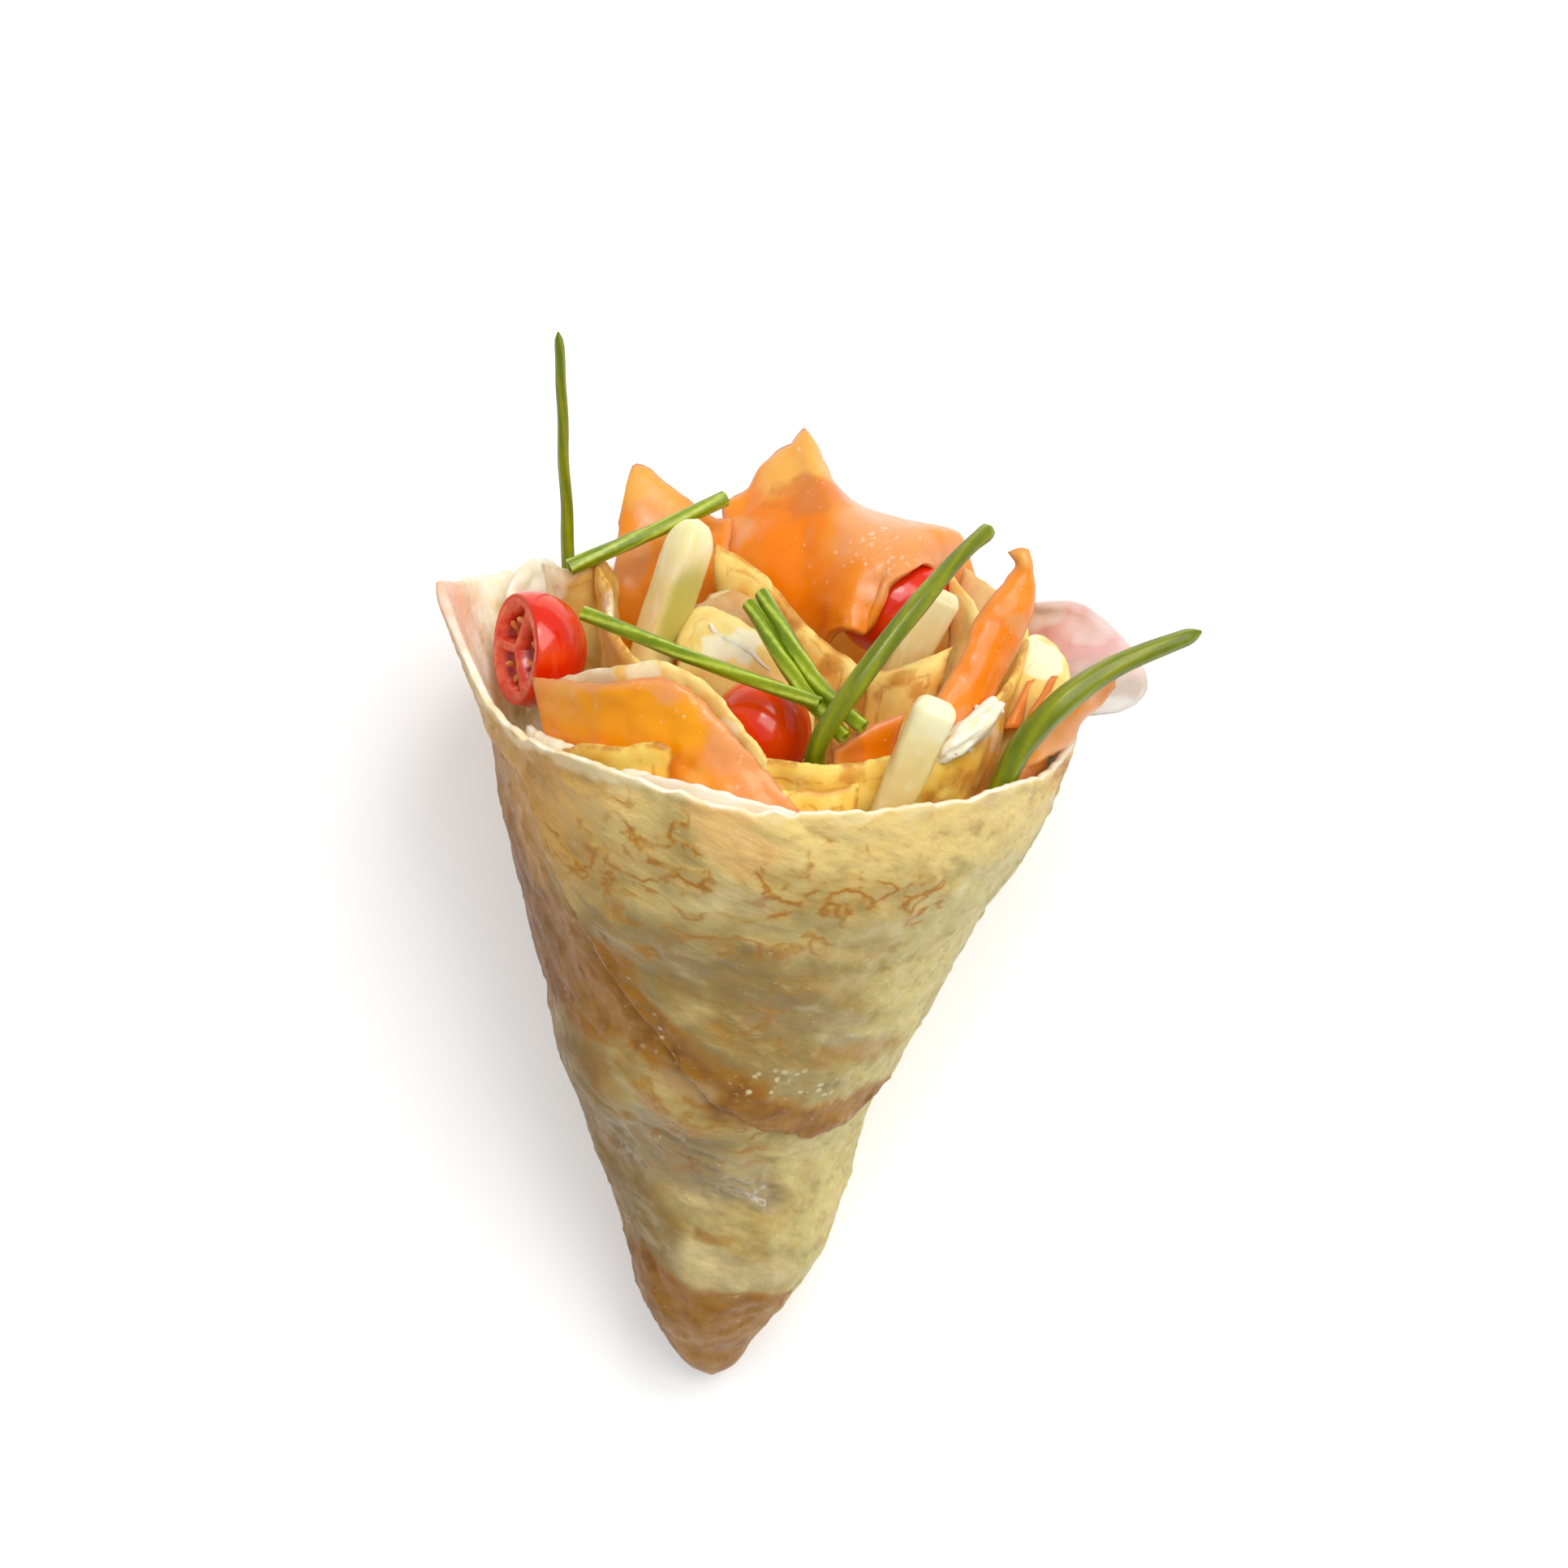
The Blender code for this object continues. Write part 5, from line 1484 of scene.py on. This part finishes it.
def make_stick(name, top, foot, width, turn, tip_round, power, green, material):
    """A vegetable stick: a bar with soft edges, bowed a little and rounded at its top."""
    start, end = mouth_point(*foot), mouth_point(*top)
    length = (end - start).length
    direction = (end - start).to_track_quat("Z", "Y").to_matrix().to_4x4()
    here = Matrix.Translation((start + end) / 2) @ direction
    here = here @ Matrix.Rotation(math.radians(turn), 4, "Z")
    seed = name_seed(name)
    sides, rings = 48, 64
    verts, greens, clears = [], [], []
    for row in range(rings):
        share = row / (rings - 1)
        height = (share - 0.5) * length
        near_top = max(0.0, 1 - (1 - share) * length / tip_round)
        near_foot = max(0.0, 1 - share * length / 2.0)
        squeeze = math.sqrt(max(1 - near_top**2, 0.0009)) * math.sqrt(max(1 - near_foot**2, 0.0009))
        half = width / 2 * (0.8 + 0.2 * smoothstep(0.0, 0.8, share)) * squeeze
        for i in range(sides):
            angle = math.tau * i / sides
            c, s = math.cos(angle), math.sin(angle)
            x = math.copysign(abs(c) ** power, c)
            y = math.copysign(abs(s) ** power, s)
            swell = 1 + 0.06 * noise.noise(Vector((c * 1.4 + seed, s * 1.4, height / 7.0)))
            swell += 0.025 * noise.noise(Vector((c * 4, s * 4 + seed, height / 2.5)))
            bow = 0.35 * math.sin(share * math.pi)
            point = placed(here @ Vector((x * half * swell + bow, y * half * swell, height)))
            verts.append(point)
            rightward = (point - placed(here @ Vector((0, 0, height)))).x / (width / 2 * MM)
            tinge = smoothstep(-0.5, 0.2, rightward) * smoothstep(1.6, 0.7, rightward)
            greens.append(green * tinge * smoothstep(0.4, 0.6, share) * smoothstep(0.92, 0.74, share))
            clears.append(smoothstep(0.95, 0.6, share))
    verts = with_poles(verts, sides)
    tones = {"green": greens + [0.0, 0.0], "clear": clears + [1.0, 0.0]}
    piece = add_mesh(name + "_bar", verts, ring_faces(rings, sides), material, tones)
    dress(piece, "stick", name)


def chamber_depth(across, upward):
    """How deep the cut face of a tomato is at a place, in parts of its radius: three chambers."""
    r = math.hypot(across, upward)
    turn = math.atan2(upward, across)
    septum = min(abs(math.remainder(turn - math.radians(step), math.tau)) for step in (20, 140, 260))
    beside = r * math.sin(min(septum, math.pi / 2))
    wall = 0.80 + 0.03 * math.sin(5 * turn)
    return smoothstep(wall + 0.05, wall - 0.16, r) * smoothstep(0.05, 0.2, beside)


# Each tomato's middle in the mouth's coordinates, its radius, and its stretch along x, y and z
TOMATOES = {
    "tomato_left": ((-45.7, 6, 9.6), 10.4, (1.0, 1.05, 1.0)),
    "tomato_centre": ((-4.2, 20, -1.7), 9.3, (1.0, 1.05, 1.0)),
    "tomato_right": ((18.6, -14, 11.7), 10.0, (1.12, 1.0, 0.95)),
}

# The halved tomato: the way its cut face looks, and how far it is from the middle
CUT_FACING = Vector((-0.88, 0.0, 0.475)).normalized()
CUT_DISTANCE = 3.4


def make_tomato(name, material, cut=False):
    """A cherry tomato: a smooth ball with faint flats. A halved one shows its seed chambers."""
    centre, radius, stretch = TOMATOES[name]
    sides, rings = 110, 72
    middle = mouth_point(*centre)
    seed = name_seed(name)
    facing = CUT_FACING.normalized() if cut else Vector((0, 0, 1))
    distance = CUT_DISTANCE if cut else 0.0
    turn = facing.to_track_quat("Z", "Y").to_matrix()
    disc = math.sqrt(radius**2 - distance**2)
    ways = ball_ways(range(1, rings), rings, sides) + [Vector((0, 0, 1)), Vector((0, 0, -1))]
    verts, depths, rimwards = [], [], []
    for local in ways:
        way = turn @ local
        lump = 1 + 0.008 * noise.noise(way * 1.3 + Vector((seed, 0, 0)))
        point = Vector([way[axis] * stretch[axis] for axis in range(3)]) * radius * lump
        depth, rimward = 0.0, 1.0
        over = point.dot(facing) - distance
        if cut and over > 0:
            point -= facing * over
            flat = turn.transposed() @ point
            rimward = math.hypot(flat.x, flat.y) / disc
            depth = chamber_depth(flat.x / disc, flat.y / disc)
            uneven = 0.25 * noise.noise(flat * 0.9) * smoothstep(1.0, 0.8, rimward)
            point -= facing * (2.6 * depth + uneven)
        verts.append(placed(middle + point))
        depths.append(depth)
        rimwards.append(rimward)
    attributes = {"deep": depths, "rimward": rimwards}
    return add_mesh(name + "_ball", verts, ring_faces(rings - 1, sides), material, attributes)


def seed_tree():
    """Pale seeds on the cut face of the tomato, each a flat drop of a few faces."""

    def build(given):
        start = given["Geometry"]
        ball = {"Segments": 12, "Rings": 8, "Radius": given["Seed size"]}
        seed = start.node("GeometryNodeMeshUVSphere", {}, ball)
        flat = start.node("GeometryNodeTransform", {}, {"Geometry": seed, "Scale": (0.55, 0.9, 0.4)})
        sockets = {"Min": (-0.4, -0.4, 0.0), "Max": (0.4, 0.4, 6.28), "Seed": given["Order"]}
        turns = start.node("FunctionNodeRandomValue", {"data_type": "FLOAT_VECTOR"}, sockets)
        many = {"Points": start, "Instance": flat, "Rotation": turns}
        return start.node("GeometryNodeInstanceOnPoints", {}, many)

    return new_tree("Tomato seeds", {"Seed size": 1.1 * MM, "Order": 4}, build)


def make_tomatoes(skin, flesh, pips):
    left = make_tomato("tomato_left", skin, cut=True)
    left.data.materials.append(flesh)
    rimward = left.data.attributes["rimward"].data
    for face in left.data.polygons:
        if min(rimward[i].value for i in face.vertices) < 0.999:
            face.material_index = 1
    dress(left, "tomato", "tomato_left")
    for name in ("tomato_centre", "tomato_right"):
        dress(make_tomato(name, skin), "tomato", name)
    middle = placed(mouth_point(*TOMATOES["tomato_left"][0]))
    sideways = CUT_FACING.to_track_quat("Z", "Y").to_matrix()
    points = []
    for chamber in (80, 200, 320):
        for turn, distance, height in ((-22, 5.4, 2.1), (16, 5.8, 1.9)):
            way = math.radians(chamber + turn)
            points.append((distance * math.cos(way), distance * math.sin(way), height))
    spots = [middle + (sideways @ Vector(point)) * MM for point in points]
    dots = bpy.data.meshes.new("seed_places")
    dots.from_pydata(spots, [], [])
    seeds = grown(add_object("tomato_left_seeds", dots), seed_tree(), pips)
    dress(seeds, "tomato")


def crumb_tree():
    """Crumbs of cream cheese over a lump, of random sizes."""

    def build(given):
        start = given["Geometry"]
        spread = {"Mesh": start, "Density": given["Crumbs per square metre"], "Seed": given["Order"]}
        points = start.node("GeometryNodeDistributePointsOnFaces", {}, spread)
        ball = {"Radius": given["Crumb size"], "Subdivisions": 2}
        crumb = start.node("GeometryNodeMeshIcoSphere", {}, ball)
        sockets = {2: 0.4, 3: 1.2, "Seed": given["Order"]}
        size = start.node("FunctionNodeRandomValue", {"data_type": "FLOAT"}, sockets, out=1)
        many = {"Points": points, "Instance": crumb, "Scale": size}
        crumbs = start.node("GeometryNodeInstanceOnPoints", {}, many)
        joined = start.tree.nodes.new("GeometryNodeJoinGeometry")
        start.tree.links.new(start.socket, joined.inputs[0])
        start.tree.links.new(crumbs.socket, joined.inputs[0])
        return Link(start.tree, joined.outputs[0])

    inputs = {"Crumb size": 0.45 * MM, "Crumbs per square metre": 70000.0, "Order": 3}
    return new_tree("Cream crumbs", inputs, build)


def make_cream(material):
    """The dab of cream cheese on the right: a lumpy ridge with crumbs on it."""
    start, end = mouth_point(*CREAM_ENDS[0]), mouth_point(*CREAM_ENDS[1])
    turn = (end - start).to_track_quat("Y", "Z").to_matrix().to_4x4()
    here = Matrix.Translation((start + end) / 2) @ turn
    sides, rings = 48, 32
    verts = []
    for way in ball_ways(range(rings + 1), rings, sides):
        lump = 1 + 0.28 * noise.noise(way * 1.8 + Vector((3.0, 0.0, 0.0)))
        lump += 0.07 * noise.noise(way * 5.0)
        verts.append(placed(here @ (way * CREAM_SIZE * lump)))
    verts = with_poles(verts, sides)
    lump = add_mesh("cream_right_dab", verts, ring_faces(rings + 1, sides), material)
    dress(grown(lump, crumb_tree(), material), "cream", "cream_right")


def along_rim(angles, radius, low, high, drop):
    """Guide lines inside the rim, between two heights over it, with ends that drop away, in mm."""
    lines = []
    for lift in (low, (low + high) / 2, high):
        line = []
        for i, angle in enumerate(angles):
            turn = math.radians(angle)
            top = between(RIM, angle)[0] / math.cos(AXIS_TILT)
            fall = drop * (1 - math.sin(math.pi * i / (len(angles) - 1)) ** 0.6)
            line.append((radius * math.sin(turn), radius * math.cos(turn), top + lift - fall))
        lines.append(line)
    return lines


# Pieces that are in the scene alone. A sliver of cream and a thin lip of crepe that follow the rim:
# their angles, their distance from the cone's axis, their lower and upper edges over the rim and
# how far their ends drop
RIM_CREAM = (range(-66, -23, 6), 56.0, -10.0, -0.2, 2.0)
RIM_SKIN = (range(-31, 7, 4), 53.0, -7.0, 0.9, 3.5)
FLAP_CREAM = [
    [(-50, -10, -8), (-47, -18, -8), (-44, -24, -8), (-40, -28, -8)],
    [(-50.5, -11, 6), (-48.5, -17, 7), (-45, -23, 7), (-41, -27, 6)],
    [(-50.5, -12, 14), (-49, -18, 17), (-46.5, -22, 18.6), (-43.5, -26, 17), (-41, -28, 14)],
]
CLEAR_SLICES = {
    "clear_slice_centre": [
        [(-15.6, -5, 9), (-10, -4, 8), (-4.5, -1, 8)],
        [(-15.6, -6, 13.6), (-10.3, -5.4, 14), (-5.0, -2.6, 13.4)],
        [(-14.6, -7.6, 15.8), (-10.3, -7.6, 17.4), (-6.0, -5.2, 16)],
    ],
    "clear_slice_back_right": [
        [(30, -19, 8), (34, -15, 6), (39, -12, 4)],
        [(29.6, -19.5, 17.6), (33.6, -16.5, 15.8), (38.4, -13, 13.6)],
    ],
}
STRANDS = {
    "white_strand_long": [
        (-14.4, 1.4, 13.2), (-13, 2.4, 11.2), (-10.4, 4.0, 10.0), (-7.3, 5.0, 8.8), (-3.2, 7.0, 5.8),
    ],
    "white_strand_short": [(-13.4, 2.2, 11.4), (-11.2, 4.4, 8.8), (-8.0, 5.8, 7.2)],
}


def make_extras(cream, membrane, translucent):
    """Cream cheese and thin skins along the rim, and the slices between the folds."""
    around = along_rim(*RIM_CREAM)
    make_sheet("rim_cream_left", around, 3.4, cream, "cream", ruffle=0.3, crinkle=0.25, rag=0.7)
    around = along_rim(*RIM_SKIN)
    make_sheet("rim_skin_front", around, 0.9, membrane, "cream", ruffle=0.4, crinkle=0.2, rag=0.7)
    make_sheet("flap_cream", FLAP_CREAM, 1.6, membrane, "cream", ruffle=0.6, crinkle=0.5, rag=1.0)
    for name, guides in CLEAR_SLICES.items():
        make_sheet(name, guides, 0.9, translucent, "stick", crinkle=0.15, rag=0.5)


def make_strands(material):
    """Thin white strands of cheese that lie over the middle folds."""
    tree = chive_tree()
    for name, points in STRANDS.items():
        piece = sweep(name, points, (0.5, 1.0, 1.2, 0.9, 0.4), tree, material, False, 0.6, 0.0)
        dress(piece, "cream")


def make_fillings():
    body, warm, peach = paint(243, 146, 42), paint(240, 132, 22), paint(236, 156, 92)
    salmon = salmon_finish("salmon", body, warm, peach)
    body, warm, peach = paint(249, 158, 54), paint(247, 148, 36), paint(242, 162, 98)
    pink_salmon = salmon_finish("salmon_pink", body, warm, peach)
    tones = {}
    for tone, (pale, golden, toast, edge) in FOLD_FINISHES.items():
        tones[tone] = fold_finish("crepe_" + tone, paint(*pale), paint(*golden), toast, edge)
    for name, guides in SALMON_SLICES.items():
        finish = pink_salmon if name in ("salmon_front_left", "salmon_right_rim") else salmon
        make_sheet(name, guides, SALMON_THICKNESS, finish, "salmon", "_slice")
    make_sheet("ham_slice", HAM_SLICE, HAM_THICKNESS, ham_finish(), "ham", "_sheet", rag=0.3)
    for name, guides in CREPE_FOLDS.items():
        make_sheet(name, guides, FOLD_THICKNESS, tones[FOLD_TONES[name]], "crepe", "_layer")
    sticks = {
        "pale": stick_finish("stick_pale", paint(246, 238, 196), paint(242, 228, 168)),
        "warm": stick_finish("stick_warm", paint(250, 234, 180), paint(248, 222, 150)),
    }
    for name, (*shape, tone) in STICKS.items():
        make_stick(name, *shape, sticks[tone])
    make_chives()
    cream = cream_finish()
    make_tomatoes(tomato_finish(), tomato_flesh_finish(), tomato_seed_finish())
    make_cream(cream)
    clear = fold_finish("clear_slice", paint(244, 216, 160), paint(230, 194, 132), 0.05, 0.3)
    make_extras(cream, tones["membrane"], clear)
    make_strands(cream)


def make_camera():
    lens = bpy.data.cameras.new("photo_camera")
    lens.sensor_width = SENSOR_WIDTH
    lens.lens = SENSOR_WIDTH * FOCAL_PIXELS / PICTURE_PIXELS
    camera = add_object("photo_camera", lens)
    camera.location = CAMERA_PLACE
    bpy.context.scene.camera = camera


def make_light(name, place, size, power, aim=(0.0, 0.0, 0.03)):
    """A square soft light that faces the crepe."""
    light = bpy.data.lights.new(name, "AREA")
    light.size = size
    light.energy = power
    lamp = add_object(name, light)
    lamp.location = place
    lamp.rotation_euler = (Vector(aim) - Vector(place)).to_track_quat("-Z", "Y").to_euler()


FLOOR_SIDE = 4.0
WORLD_LIGHT = 0.5


def make_studio():
    """A plain pale floor under soft light from above and from the mouth's side."""
    scene = bpy.context.scene
    scene.view_settings.view_transform = "Standard"
    world = bpy.data.worlds.new("studio")
    world.use_nodes = True
    sky = world.node_tree.nodes["Background"]
    sky.inputs["Color"].default_value = (0.97, 0.98, 1.0, 1.0)
    sky.inputs["Strength"].default_value = WORLD_LIGHT
    scene.world = world
    half = FLOOR_SIDE / 2
    corners = [(-half, -half, 0), (half, -half, 0), (half, half, 0), (-half, half, 0)]
    mesh = bpy.data.meshes.new("floor")
    mesh.from_pydata(corners, [], [(0, 1, 2, 3)])
    constants = {
        "Roughness": 0.9,
        "Specular IOR Level": 0.2,
        "Emission Color": (1.0, 1.0, 1.0, 1.0),
        "Emission Strength": 0.3,
    }
    material, shader, place = new_finish("studio_floor", NOT_SOFT, constants)
    shade = place.grain(400.0, 2.0, 0.5).ramp(0.3, 0.7)
    feed(shader, Base_Color=place.mix(shade, paint(241, 242, 242), paint(244, 245, 244)))
    mesh.materials.append(material)
    floor = add_object("floor", mesh)
    make_light("key", (0.35, 0.45, 0.95), 0.8, 7.5)
    make_light("window", (0.1, 0.5, 0.75), 0.2, 0.9)


make_camera()
make_studio()
make_outer_crepe(outer_crepe_finish())
make_fillings()

bpy.context.view_layer.update()
